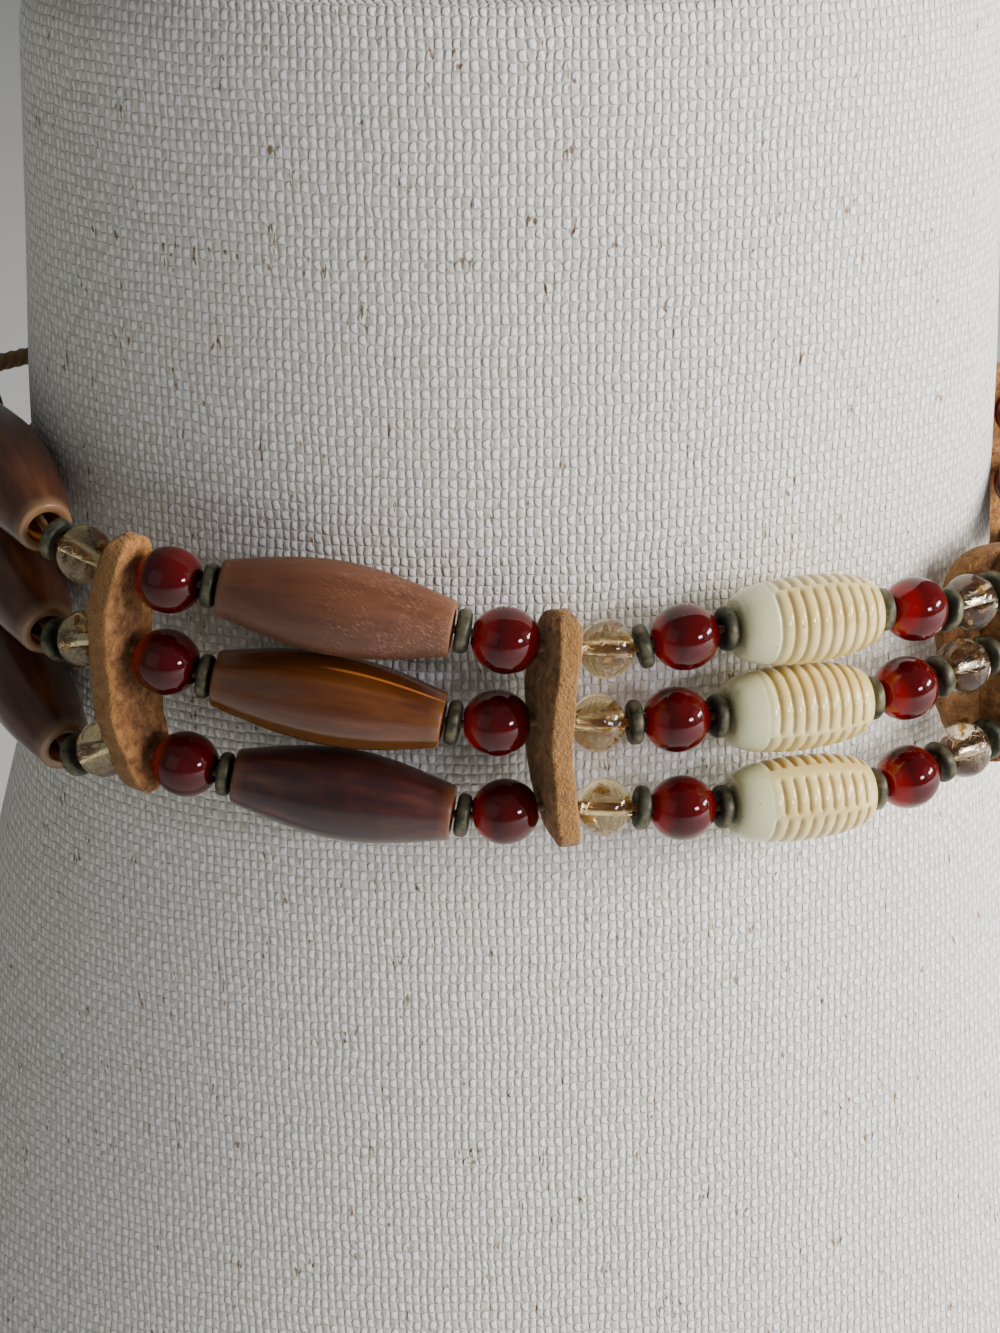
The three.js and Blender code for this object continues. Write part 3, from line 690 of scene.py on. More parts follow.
@dataclass(frozen=True)
class HornFinish:
    """Cut and polished horn: streaks along the bead, a translucent rim, and its own gloss.

    The underside may be lighter and more orange, a painted highlight line may run along the bead
    at an angle round it with the horn darker above it, the middle may be darker, and one half may
    be scratched. Each has its share, and 0 leaves it out.
    """

    name: str
    body: Colour
    light: Colour
    dark: Colour
    end: Colour
    roughness: float = 0.35
    scratches: float = 0.0
    dark_middle: float = 0.0
    under: Colour = (0.16, 0.065, 0.012)
    # Orange of the painted glow inside the bore, as of light through the horn.
    bore: Colour = (0.36, 0.12, 0.02)
    # Colour of the painted highlight line.
    line: Colour = (0.55, 0.17, 0.03)
    scratched: Colour = (0.42, 0.25, 0.15)
    under_share: float = 0.0
    highlight_turn: float = 0.0
    highlight_share: float = 0.0

    def material(self) -> bpy.types.Material:
        """Streaks are noise stretched along the bead, and the ends fade to the lighter tint.

        Returns:
            The material.
        """
        b = NodeBoard(self.name)
        grain = b.attribute("grain")
        streak = b.noise(b.stretched(grain, (0.09, 1.0, 1.0)), 0.9, 4.0)
        fine = b.noise(b.stretched(grain, (0.05, 1.0, 1.0)), 4.5, 3.0)
        colour = b.ramp(streak, (0.26, self.dark), (0.50, self.body), (0.78, self.light))
        colour = b.tint(colour, self.light, b.band(fine, 0.55, 0.75), 0.22)
        place, out, up = b.split(b.attribute("bead"))
        # Lighter, more orange horn on the underside.
        if self.under_share > 0:
            low = b.times(b.band(up, 0.0, -0.6), self.under_share)
            colour = b.tint(colour, self.under, low)
        # Painted highlight: a bright line along the bead, with the horn darker above it.
        if self.highlight_share > 0:
            turn = b.math("ARCTAN2", up, out)
            off_highlight = b.math("ABSOLUTE", b.math("SUBTRACT", turn, self.highlight_turn))
            above = b.times(b.band(turn, self.highlight_turn, self.highlight_turn + 0.08), 0.55)
            colour = b.tint(colour, self.dark, above, b.band(place, -0.25, 0.1))
            line = b.times(b.band(off_highlight, 0.055, 0.02), b.band(place, -0.15, 0.15))
            colour = b.tint(colour, self.line, line, self.highlight_share)
        far = b.math("ABSOLUTE", place)
        if self.dark_middle > 0:
            cloud = b.noise(grain, 0.25, 2.0)
            deep = b.times(b.band(far, 0.75, 0.3), b.band(cloud, 0.3, 0.6))
            colour = b.tint(colour, self.dark, deep, self.dark_middle)
        colour = b.tint(colour, self.end, b.band(far, 0.86, 1.0), 0.7)
        # Painted glow: the bore, marked by the shade attribute, turns orange.
        colour = b.tint(colour, self.bore, b.attribute("shade", "Fac"))
        height = b.times(fine, 0.4)
        if self.scratches > 0:
            worn = b.stretched(grain, (0.35, 1.0, 1.0))
            turned = b.node("ShaderNodeMapping", Vector=worn, Rotation=(0.5, 0.3, 0.6))
            hatch = b.noise(b.stretched(turned.outputs[0], (16.0, 2.2, 2.2)), 1.1, 3.0)
            handled = b.band(b.noise(grain, 0.3, 2.0), 0.34, 0.6)
            where = b.times(handled, b.band(place, -0.35, 0.35))
            cuts = b.times(b.band(hatch, 0.56, 0.66), where)
            tinted = b.times(cuts, self.scratches)
            colour = b.tint(colour, self.scratched, tinted)
            height = b.math("ADD", height, b.times(cuts, -0.5))
        b.bump(height, 0.12 * MM, 0.6)
        return b.finish(
            Base_Color=colour,
            Roughness=self.roughness,
            IOR=1.54,
            Subsurface_Weight=0.15,
            Subsurface_Radius=(0.8, 0.28, 0.08),
            Subsurface_Scale=1.8 * MM,
            Coat_Weight=0.35 if self.roughness < 0.4 else 0.0,
            Coat_Roughness=0.12,
        )


@dataclass(frozen=True)
class BoneFinish:
    """Polished carved bone: greenish white collar, ivory ribs, tan in the grooves of stain and
    painted shade.
    """

    body: Colour = (0.64, 0.475, 0.17)
    light: Colour = (0.74, 0.605, 0.26)
    pale: Colour = (0.70, 0.69, 0.40)
    # Tan of the grooves and the bore: partly stain, partly painted shade in the hollows.
    groove: Colour = (0.40, 0.22, 0.075)
    pore: Colour = (0.20, 0.13, 0.07)
    # Colour of a darker band round the collar end beside the hole.
    stain: Colour = (0.20, 0.15, 0.06)

    def material(self) -> bpy.types.Material:
        """The shade attribute is a groove's depth, and the bead attribute runs along the bead.

        Returns:
            The material.
        """
        b = NodeBoard("bone")
        grain = b.attribute("grain")
        along = b.split(b.attribute("bead"))[0]
        cloud = b.noise(b.stretched(grain, (0.3, 1.0, 1.0)), 0.35, 3.0)
        colour = b.blend(b.band(cloud, 0.35, 0.7), self.body, self.light)
        colour = b.tint(colour, self.pale, b.band(along, -0.42, -0.66))
        # The grooves and the bore darken to tan: partly stain, partly painted shade.
        deep = b.attribute("shade", "Fac")
        tan = b.times(b.band(deep, 0.45, 1.0), b.scale_range(cloud, 0.35, 0.85))
        colour = b.tint(colour, self.groove, tan)
        pores = b.noise(b.stretched(grain, (0.4, 1.0, 1.0)), 2.6, 1.0)
        colour = b.tint(colour, self.pore, b.band(pores, 0.74, 0.80), 0.8)
        # Darker band round the collar end beside the hole, broken up by the cloud.
        ring = b.math("ADD", along, b.times(cloud, 0.10))
        dark_end_band = b.times(b.band(ring, -0.93, -0.98), b.band(cloud, 0.42, 0.6))
        colour = b.tint(colour, self.stain, dark_end_band, 0.85)
        b.bump(b.noise(b.stretched(grain, (0.2, 1.0, 1.0)), 3.0, 3.0), 0.06 * MM, 0.5)
        return b.finish(
            Base_Color=colour,
            Roughness=0.09,
            IOR=1.54,
            Subsurface_Weight=0.3,
            Subsurface_Radius=(0.8, 0.5, 0.25),
            Subsurface_Scale=1.6 * MM,
            Coat_Weight=0.5,
            Coat_Roughness=0.05,
        )


@dataclass(frozen=True)
class CarnelianFinish:
    """Deep red translucent agate, with a painted glow of bright red near the drilled end towards
    -X.
    """

    deep: Colour = (0.062, 0.0004, 0.0009)
    # Bright red of the painted glow towards the -X end.
    clear: Colour = (0.62, 0.003, 0.001)
    cloudy: Colour = (0.092, 0.0010, 0.0016)

    def material(self) -> bpy.types.Material:
        """Faint agate bands lie across a clear red body, and a painted glow brightens it towards
        -X.

        Returns:
            The material.
        """
        b = NodeBoard("carnelian")
        grain = b.attribute("grain")
        bands = b.noise(b.stretched(grain, (0.6, 1.0, 0.5)), 0.45, 3.0)
        along = b.split(b.attribute("bead"))[0]
        # Painted glow: brighter red towards the -X end, opposite the key light.
        left_end_glow = b.band(along, -0.35, -0.9)
        colour = b.ramp(bands, (0.3, self.deep), (0.6, self.cloudy), (0.8, self.deep))
        colour = b.tint(colour, self.clear, left_end_glow, 0.8)
        return b.finish(
            Base_Color=colour,
            Roughness=0.06,
            IOR=1.55,
            Specular_IOR_Level=0.32,
            Transmission_Weight=0.3,
            Subsurface_Weight=0.12,
            Subsurface_Radius=(1.0, 0.06, 0.03),
            Subsurface_Scale=3 * MM,
            Subsurface_Anisotropy=0.6,
            Coat_Weight=0.1,
            Coat_Roughness=0.02,
        )


@dataclass(frozen=True)
class QuartzFinish:
    """Pale smoky yellow crackled quartz, greyer brown in the smokier rounds."""

    tint: Colour = (0.94, 0.81, 0.47)
    smoke: Colour = (0.74, 0.52, 0.22)
    grey: Colour = (0.55, 0.46, 0.36)

    def material(self) -> bpy.types.Material:
        """Cracks bend the light through bump, and smoke tints patches of the clear body.

        Returns:
            The material.
        """
        b = NodeBoard("citrine")
        grain = b.attribute("grain")
        patches = b.noise(grain, 0.35, 3.0)
        colour = b.blend(b.band(patches, 0.35, 0.75), self.tint, self.smoke)
        colour = b.tint(colour, self.grey, b.attribute("shade", "Fac"))
        crack = b.node("ShaderNodeTexVoronoi", Vector=grain, Scale=0.75)
        crack.feature = "DISTANCE_TO_EDGE"
        lines = b.band(crack.outputs["Distance"], 0.05, 0.0)
        b.bump(b.times(lines, b.band(patches, 0.4, 0.6)), 0.08 * MM, 0.3)
        return b.finish(
            Base_Color=colour,
            Roughness=0.03,
            IOR=1.54,
            Transmission_Weight=1.0,
            Coat_Weight=0.2,
            Coat_Roughness=0.02,
        )


@dataclass(frozen=True)
class FlakeFinish:
    """Golden glints of the fracture planes inside the crackled rounds."""

    colour: Colour = (0.95, 0.72, 0.36)
    brown: Colour = (0.55, 0.36, 0.14)

    def material(self) -> bpy.types.Material:
        """A nearly clear plane with a faint mirror.

        Returns:
            The material.
        """
        b = NodeBoard("citrine_crackle")
        grain = b.attribute("grain")
        patches = b.band(b.noise(grain, 1.5, 3.0), 0.4, 0.6)
        colour = b.blend(patches, self.colour, self.brown)
        return b.finish(
            Base_Color=colour, Roughness=0.15, IOR=1.3, Transmission_Weight=0.85, Metallic=0.15
        )


@dataclass(frozen=True)
class BrassFinish:
    """Antiqued brass: grey-green patina, rubbed to metal at the rim."""

    name: str = "brass"
    patina: Colour = (0.042, 0.050, 0.036)
    rubbed: Colour = (0.27, 0.23, 0.13)
    dull: Colour = (0.080, 0.084, 0.060)

    def material(self) -> bpy.types.Material:
        """The shade attribute is 1 on the rim, where the patina is rubbed off in patches.

        Returns:
            The material.
        """
        b = NodeBoard(self.name)
        grain = b.attribute("grain")
        cloud = b.noise(grain, 0.9, 4.0)
        colour = b.ramp(cloud, (0.35, self.patina), (0.65, self.dull))
        rim = b.times(b.attribute("shade", "Fac"), b.scale_range(cloud, 0.2, 1.3))
        worn = b.band(rim, 0.45, 1.0)
        colour = b.tint(colour, self.rubbed, worn, 0.7)
        b.bump(b.noise(grain, 3.0, 3.0), 0.05 * MM, 0.6)
        return b.finish(
            Base_Color=colour, Metallic=0.75, Roughness=b.scale_range(cloud, 0.62, 0.34)
        )


@dataclass(frozen=True)
class SuedeFinish:
    """Tan split leather with a short fuzzy nap, darker in its cut edges."""

    body: Colour = (0.27, 0.115, 0.032)
    light: Colour = (0.44, 0.215, 0.068)
    dark: Colour = (0.110, 0.043, 0.015)
    edge: Colour = (0.25, 0.130, 0.040)

    def material(self) -> bpy.types.Material:
        """Nap is fine noise under soft clouds of handling. The shade attribute marks cut edges.

        Returns:
            The material.
        """
        b = NodeBoard("suede")
        grain = b.attribute("grain")
        cloud = b.noise(grain, 0.3, 3.0)
        nap = b.noise(grain, 3.2, 4.0)
        mottle = b.noise(grain, 0.85, 4.0)
        colour = b.ramp(mottle, (0.37, self.dark), (0.51, self.body), (0.65, self.light))
        colour = b.tint(colour, self.body, b.band(cloud, 0.40, 0.62), 0.5)
        colour = b.tint(colour, self.light, b.band(nap, 0.46, 0.66), 0.4)
        rim = b.times(b.attribute("shade", "Fac"), b.scale_range(mottle, 0.5, 1.0))
        colour = b.tint(colour, self.edge, rim)
        dirt = b.band(b.noise(grain, 1.9, 3.0), 0.60, 0.70)
        colour = b.tint(colour, self.dark, dirt, 0.6)
        b.bump(b.math("ADD", nap, b.times(mottle, 0.8)), 0.34 * MM, 0.9)
        return b.finish(Base_Color=colour, Roughness=0.95, Sheen_Weight=0.08, Sheen_Roughness=0.5)


@dataclass(frozen=True)
class ThreadFinish:
    """Waxed brown stringing cord."""

    body: Colour = (0.16, 0.075, 0.03)
    light: Colour = (0.34, 0.18, 0.08)

    def material(self) -> bpy.types.Material:
        """The shade attribute is 1 on the crown of each ply.

        Returns:
            The material.
        """
        b = NodeBoard("thread")
        grain = b.attribute("grain")
        fibre = b.noise(b.stretched(grain, (0.6, 3.0, 3.0)), 2.0, 3.0)
        lit = b.times(b.attribute("shade", "Fac"), b.scale_range(fibre, 0.2, 1.0))
        colour = b.blend(lit, self.body, self.light)
        b.bump(fibre, 0.06 * MM, 0.7)
        return b.finish(Base_Color=colour, Roughness=0.6, Sheen_Weight=0.1)


# Strung pieces


@dataclass
class Hairpipe:
    """A long horn bead: ends + (middle - ends) cos(pi s / length), with flats ground on it."""

    diameter: float = 10.1 * MM
    end_diameter: float = 6.2 * MM
    bore: float = 3.9 * MM
    rim: float = 0.25 * MM
    lip: tuple[float, ...] = (0.9, 0.5, 0.1)
    lip_rise: tuple[float, ...] = (0.8, 1.0, 0.8)
    unevenness: tuple[float, float, float] = (0.006, 0.004, 0.008)
    least_facing: float = 0.2
    # Share of the painted orange glow in the bore.
    bore_painted_light: float = 0.85
    sides: int = 96
    rows: int = 60
    flats: tuple[tuple[float, float], ...] = ()

    def local(self, length: float, seed: int) -> tuple[np.ndarray, np.ndarray]:
        """Points and bore shares in the bead's own frame.

        Args:
            length: Length of the bead.
            seed: Picks the small unevenness of hand work.

        Returns:
            Rows by sides by 3, a closed profile that runs out along the bead and back in its
            bore, and the share of painted glow there.
        """
        rng = np.random.default_rng(seed)
        half, bore = length / 2 - self.rim, self.bore / 2
        end, middle = self.end_diameter / 2, self.diameter / 2
        place = np.linspace(-1, 1, self.rows)
        outer = end + (middle - end) * np.cos(place * math.pi / 2)
        angle = even_angles(self.sides)
        radius = spread(outer, self.sides)
        for turn, share in self.flats:
            facing = np.cos(angle - turn)
            reach = share / np.maximum(facing, self.least_facing)
            plane = np.where(facing > self.least_facing, reach, np.inf)
            radius = np.minimum(radius, outer[:, None] * plane)
        phase = rng.uniform(0, 2 * math.pi, 3)
        broad, fine, long = self.unevenness
        waves = broad * np.sin(3 * angle + phase[0]) + fine * np.sin(5 * angle + phase[1])
        swell = long * np.sin(place * 4 + phase[2])
        radius *= 1 + waves + swell[:, None]
        lip = np.array(self.lip)[:, None]
        right = bore + (radius[-1] - bore) * lip
        left = bore + (radius[0] - bore) * lip[::-1]
        tip = half + np.array(self.lip_rise) * self.rim
        back, inner = bore_rows(half, bore, 12)
        along = spread(np.concatenate([place * half, tip, back, -tip]), self.sides)
        girth = np.concatenate([radius, right, spread(inner, self.sides), left])
        shade = np.zeros(girth.shape)
        # The bore rows carry the painted glow.
        shade[self.rows + len(lip) : -len(lip)] = self.bore_painted_light
        return turned_points(along, girth, self.sides), shade


@dataclass
class RibbedBead:
    """A carved bone bead: an oval with a plain collar, ribs across it and lands along it."""

    length: float = 16.6 * MM
    diameter: float = 9.8 * MM
    end_diameter: float = 5.8 * MM
    bore: float = 2.0 * MM
    pitch: float = 1.45 * MM
    depth: float = 0.5 * MM
    collar: float = 3.6 * MM
    lip: tuple[float, ...] = (0.8, 0.45, 0.12)
    land_edge: float = 0.06
    land_step: float = 0.35
    # Share of the grooves' tan, partly painted shade, in the bore.
    bore_painted_light: float = 0.7
    sides: int = 128
    rows: int = 220
    lands: tuple[tuple[float, float], ...] = ()

    def local(self) -> tuple[np.ndarray, np.ndarray]:
        """Points and groove depths in the bead's own frame.

        Radius is end + (middle - end) sqrt(1 - (s / half)^2), less depth (1 - sin(pi t^0.75)^0.4)
        for the share t of each pitch, so that the ribs are round and lean like scales. The ribs
        stand a step further on past each land, which is a smooth strip along the bead.

        Returns:
            Rows by sides by 3, and the shade there.
        """
        half, bore = self.length / 2, self.bore / 2
        place = np.sin(np.linspace(-math.pi / 2, math.pi / 2, self.rows))
        end, middle = self.end_diameter / 2, self.diameter / 2
        girth = end + (middle - end) * np.sqrt(np.maximum(1 - place**2, 0))
        angle = even_angles(self.sides)
        shift, land = np.zeros(self.sides), np.zeros(self.sides)
        for turn, width in self.lands:
            away = (angle - turn + math.pi) % (2 * math.pi) - math.pi
            land = np.maximum(land, 1 - smooth_step((np.abs(away) - width) / self.land_edge))
            shift += np.where(away > 0, self.land_step, 0.0)
        along = (place * half)[:, None]
        start = -half + self.collar
        phase = (along - start) / self.pitch + shift[None, :]
        part = phase - np.floor(phase)
        groove = 1 - np.sin(math.pi * part**0.75) ** 0.4
        fade = smooth_step((along - start + 0.4 * self.pitch) / (0.5 * self.pitch))
        fade = fade * smooth_step((half - along - 0.25 * self.pitch) / (0.6 * self.pitch))
        cut = np.clip(groove, 0, 1) * fade * (1 - land[None, :])
        right = bore + (end - bore) * np.array(self.lip)
        back, inner = bore_rows(half, bore, 8)
        flat = np.full(len(self.lip), half)
        bored = spread(np.concatenate([right, inner, right[::-1]]), self.sides)
        radius = np.concatenate([girth[:, None] - self.depth * cut, bored])
        shade = np.concatenate([cut, np.full(bored.shape, self.bore_painted_light)])
        places = np.concatenate([along[:, 0], flat, back, -flat])
        return turned_points(places, radius, self.sides), shade


@dataclass
class StoneRound:
    """A drilled round: along = -half cos t, radius = R sin t, with a straight bore."""

    diameter: float
    length: float
    bore: float
    lip: float = 1.08
    sides: int = 64
    rows: int = 40

    def local(self) -> np.ndarray:
        """Points in the round's own frame.

        Returns:
            Rows by sides by 3.
        """
        radius, half, bore = self.diameter / 2, self.length / 2, self.bore / 2
        start = math.asin(bore / radius) * 1.2
        turn = np.linspace(start, math.pi - start, self.rows)
        along, girth = -half / math.cos(start) * np.cos(turn), radius * np.sin(turn)
        back, inner = bore_rows(half * 0.98, bore, 8)
        along = np.concatenate([along, [half], back, [-half]])
        girth = np.concatenate([girth, [bore * self.lip], inner, [bore * self.lip]])
        return turned_points(along, girth, self.sides)


@dataclass
class Rondelle:
    """A flat brass ring whose section is the rounded oblong |x/a|^n + |r/b|^n = 1."""

    diameter: float = 4.9 * MM
    thickness: float = 1.55 * MM
    bore: float = 1.5 * MM
    power: float = 2.6
    unevenness: tuple[float, float] = (0.012, 0.006)
    sides: int = 56
    rows: int = 24

    def local(self, seed: int) -> tuple[np.ndarray, np.ndarray]:
        """Points and rim shares in the ring's own frame.

        Args:
            seed: Picks its unevenness.

        Returns:
            Rows by sides by 3, and the shade there.
        """
        rng = np.random.default_rng(seed)
        turn = even_angles(self.rows)
        outer, inner = self.diameter / 2, self.bore / 2
        circle = np.array([np.sin(turn), np.cos(turn)])
        across, side = np.sign(circle) * np.abs(circle) ** (2 / self.power)
        radius = (outer + inner) / 2 + (outer - inner) / 2 * across
        angle = even_angles(self.sides)
        phase = rng.uniform(0, 2 * math.pi, 2)
        broad, fine = self.unevenness
        wobble = 1 + broad * np.sin(2 * angle + phase[0]) + fine * np.sin(7 * angle + phase[1])
        local = turned_points(self.thickness / 2 * side, radius[:, None] * wobble, self.sides)
        return local, spread(np.clip(across, 0, 1), self.sides)


@dataclass
class Crackle:
    """Small curved fracture planes inside a quartz round."""

    count: int = 9
    reach: float = 2.3 * MM
    keep_clear: float = 0.75 * MM
    size: float = 0.95 * MM
    half_thickness: float = 0.03 * MM
    warp: float = 0.2
    sides: int = 9

    def add(self, shell: Shell, place: Placed, seed: int) -> None:
        """Adds thin lens-shaped flakes: two shallow cones back to back, bent a little.

        Args:
            shell: Where they go.
            place: The round that holds them.
            seed: Picks where they lie.
        """
        rng = np.random.default_rng(seed)
        frame = axis_frame(place.axis)
        angle = even_angles(self.sides)[:, None]
        for _ in range(self.count):
            direction = direction_of(rng.normal(size=3))
            direction[0] *= 0.8
            away = rng.uniform(self.keep_clear + self.size * 0.7, self.reach)
            middle = direction * away
            normal = direction_of(rng.normal(size=3))
            side = direction_of(np.cross(normal, [0.3, 0.5, 0.81]))
            other = np.cross(normal, side)
            size = self.size * rng.uniform(0.5, 1.0) * (1 - 0.35 * away / self.reach)
            ragged = size * rng.uniform(0.65, 1.0, self.sides)[:, None]
            rim = middle + ragged * (np.cos(angle) * side + np.sin(angle) * other)
            rim += self.warp * size * np.sin(2 * angle) * normal
            poles = middle + np.array([[-1.0], [1.0]]) * normal * self.half_thickness
            local = np.concatenate([rim, poles])
            points = place.centre + local @ frame
            shell.add(points, [pole_fans(1, self.sides)], local / MM)


@dataclass
class TwistedCord:
    """A tube whose radius follows its plies: R (1 - d + d |cos(k (angle - twist))|)."""

    plies: int = 2
    sides: int = 20
    ply_depth: float = 0.2
    lay_length: float = 2.2 * MM
    step: float = 0.35 * MM
    soften: int = 5

    def add(self, shell: Shell, path: np.ndarray, radius: np.ndarray) -> None:
        """Adds the cord.

        Args:
            shell: Where it goes.
            path: Points of its centreline.
            radius: Its radius at each point.
        """
        length = np.concatenate([[0.0], np.cumsum(np.linalg.norm(np.diff(path, axis=0), axis=1))])
        rows = max(int(length[-1] / self.step), 8)
        place = np.linspace(0, length[-1], rows)
        centre = np.stack([np.interp(place, length, path[:, i]) for i in range(3)], axis=-1)
        girth = np.interp(place, length, radius)[:, None]
        kernel, ends = np.ones(self.soften) / self.soften, self.soften // 2
        smooth = [np.convolve(centre[:, i], kernel, "valid") for i in range(3)]
        centre[ends:-ends] = np.stack(smooth, axis=-1)
        axis = np.gradient(centre, axis=0)
        axis /= np.linalg.norm(axis, axis=1)[:, None]
        out = np.stack([axis[:, 1], -axis[:, 0], np.zeros(rows)], axis=-1)
        out /= np.linalg.norm(out, axis=1)[:, None]
        up = np.cross(out, axis)
        angle = even_angles(self.sides)
        laid = angle - 2 * math.pi * place[:, None] / self.lay_length
        crown = np.abs(np.cos(self.plies / 2 * laid))
        swept = girth * (1 - self.ply_depth + self.ply_depth * crown)
        ring = np.cos(angle)[None, :, None] * out[:, None, :]
        ring = ring + np.sin(angle)[None, :, None] * up[:, None, :]
        points = centre[:, None, :] + swept[..., None] * ring
        poles = np.stack([centre[0], centre[-1]])
        local = [spread(place, self.sides), swept * np.cos(laid), swept * np.sin(laid)]
        local = np.stack(local, axis=-1).reshape(-1, 3)
        grain = np.concatenate([local, [[0, 0, 0], [place[-1], 0, 0]]]) / MM
        shade = np.concatenate([crown.ravel(), [0, 0]])
        faces = [grid_quads(rows, self.sides), pole_fans(rows, self.sides)]
        shell.add(np.concatenate([points.reshape(-1, 3), poles]), faces, grain, shade)


@dataclass(frozen=True)
class PlateCut:
    """How one plate is cut and set: its turn about its holes and its strip beside the neck."""

    turn: float = 0.0
    strip: float = 1.9 * MM
    curl: float = 0.0


@dataclass
class BentPlate:
    """A hand-cut plate that bends through three strands: a rounded oblong swept up its middle."""

    thickness: float
    depth: float
    overhang: float
    root: float
    scallop: float = 0.0
    end_power: float = 5.0
    tip_power: float = 30.0
    section_power: float = 9.0
    shade_power: float = 12.0
    inner_shade: float = 0.6
    bend_radius: float = 1.2 * MM
    unevenness: float = 0.0
    rows: int = 150
    sides: int = 96

    def bows(self, spots: np.ndarray, height: np.ndarray) -> list[np.ndarray]:
        """Offsets outwards and along of the plate's middle at each height.

        The middle passes through the holes on a curve quadratic in height, and goes on straight
        past the outer two.

        Args:
            spots: The holes in the plate's own frame, bottom first, from the middle one.
            height: Heights above the middle hole.

        Returns:
            The offsets outwards, then those along.
        """
        low, high = spots[0, 1], spots[2, 1]
        inside = np.clip(height, low, high)
        offsets = []
        for key in (0, 2):
            slope_low, slope_high = spots[0, key] / low, spots[2, key] / high
            curve = (slope_high - slope_low) / (high - low)
            value = inside * (slope_low + curve * (inside - low))
            slope = slope_low + curve * (2 * inside - low)
            offsets.append(value + (height - inside) * slope)
        return offsets

    def curled(self, inward: np.ndarray, root: np.ndarray, curl: float) -> tuple[np.ndarray, ...]:
        """Section line beside the neck: straight to an arc near the root, then straight again.

        Args:
            inward: Lengths along the line from the holes.
            root: Where the two straights would meet.
            curl: Angle between them.

        Returns:
            Places across and along, and the line's turn there.
        """
        radius = self.bend_radius
        start = root - radius * math.tan(curl / 2)
        turn = np.clip((inward - start) / radius, 0.0, curl)
        past = np.maximum(inward - start - radius * curl, 0.0)
        straight = np.minimum(inward, start)
        across = -straight - radius * np.sin(turn) - past * math.cos(curl)
        along = radius * (1 - np.cos(turn)) + past * math.sin(curl)
        return across, along, turn

    def add(
        self, shell: Shell, holes: np.ndarray, axis: np.ndarray, cut: PlateCut, seed: int
    ) -> None:
        """Adds the plate.

        Its half depth is (depth / 2) (1 - |t|^p)^(1/2), hollowed by a cosine towards each strand.
        Each section is |x/a|^n + |y/b|^n = 1, laid along the curled line.

        Args:
            shell: Where it goes.
            holes: The three strands' points, bottom first.
            axis: Direction of the middle strand there.
            cut: Its own turn and strip.
            seed: Picks the unevenness of its cut.
        """
        rng = np.random.default_rng(seed)
        cosine, sine = math.cos(cut.turn), math.sin(cut.turn)
        about = np.array([[cosine, -sine, 0.0], [sine, cosine, 0.0], [0.0, 0.0, 1.0]])
        _, out, up = axis_frame(direction_of(about @ axis))
        basis = np.array([out, up, np.cross(out, up)])
        spots = (holes - holes[1]) @ basis.T
        low, high = spots[0, 1], spots[2, 1]
        bottom, top = low - self.overhang, high + self.overhang
        share = np.sin(np.linspace(-math.pi / 2, math.pi / 2, self.rows + 2))[1:-1]
        height = (bottom + top) / 2 + (top - bottom) / 2 * share
        bow = self.bows(spots, height)
        rounded = (1 - np.abs(share) ** self.end_power) ** 0.5
        gap = np.where(height > 0, high, low)
        hollow = self.scallop * (0.25 + 0.25 * np.cos(2 * math.pi * height / gap)) * rounded
        phase = rng.uniform(0, 2 * math.pi, 7)
        rise = height / MM
        wave = np.sin(rise * 0.9 + phase[0]) + 0.6 * np.sin(rise * 2.1 + phase[1])
        other = np.sin(rise * 0.7 + phase[2]) + 0.6 * np.sin(rise * 1.7 + phase[3])
        outer = self.depth / 2 * rounded - hollow + self.unevenness * wave * rounded
        root = self.root * rounded
        slack = self.bend_radius * (2 * math.tan(cut.curl / 2) - cut.curl)
        inner = (self.root + cut.strip) * rounded - hollow - slack
        inner = inner + self.unevenness * other * rounded
        thick = self.thickness / 2 * (1 - np.abs(share) ** self.tip_power) ** 0.5
        thick = thick * (1 + self.unevenness / MM * np.sin(rise * 0.6 + phase[4]) / 3)
        turn = even_angles(self.sides)
        flat = np.cos(turn)
        power = self.section_power
        face = np.sign(np.sin(turn)) * (1 - np.abs(flat) ** power) ** (1 / power)
        face[np.isclose(np.abs(flat), 1.0)] = 0.0
        inward = np.maximum(-flat[None, :] * inner[:, None], 0.0)
        across, along, tilt = self.curled(inward, root[:, None], cut.curl)
        outward = flat[None, :] > 0
        across = np.where(outward, flat[None, :] * outer[:, None], across)
        level = face[None, :] * thick[:, None]
        x = bow[0][:, None] + across + level * np.sin(tilt)
        y = spread(height, self.sides)
        z = bow[1][:, None] + along + level * np.cos(tilt)
        rough = np.sin(x / MM * 3.1 + phase[5]) * np.sin(y / MM * 2.7 + phase[6])
        z = z + 0.25 * self.unevenness * rough * np.sign(face)[None, :]
        local = np.stack([x, y, z], axis=-1).reshape(-1, 3)
        ends = np.array([[bow[0][0], bottom, bow[1][0]], [bow[0][-1], top, bow[1][-1]]])
        whole = np.concatenate([local, ends])
        edge = np.abs(flat) ** self.shade_power * np.where(outward[0], 1.0, self.inner_shade)
        shade = np.concatenate([np.tile(edge, self.rows), [1.0, 1.0]])
        faces = [grid_quads(self.rows, self.sides), pole_fans(self.rows, self.sides)]
        shell.add(holes[1] + whole @ basis, faces, whole / MM + GRAIN_STEP[Bead.BAR] * seed, shade)


def put_in_place(
    piece: bpy.types.Object, material: bpy.types.Material, slot: str, *nodes: str
) -> None:
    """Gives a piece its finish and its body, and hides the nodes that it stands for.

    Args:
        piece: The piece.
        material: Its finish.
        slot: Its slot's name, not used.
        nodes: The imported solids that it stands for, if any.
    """
    piece.data.materials.append(material)
    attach(piece, "root")
    if nodes:
        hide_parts(*nodes)
    triangles = sum(len(p.vertices) - 2 for p in piece.data.polygons)
    LOG.info("%s: %d triangles", piece.name, triangles)


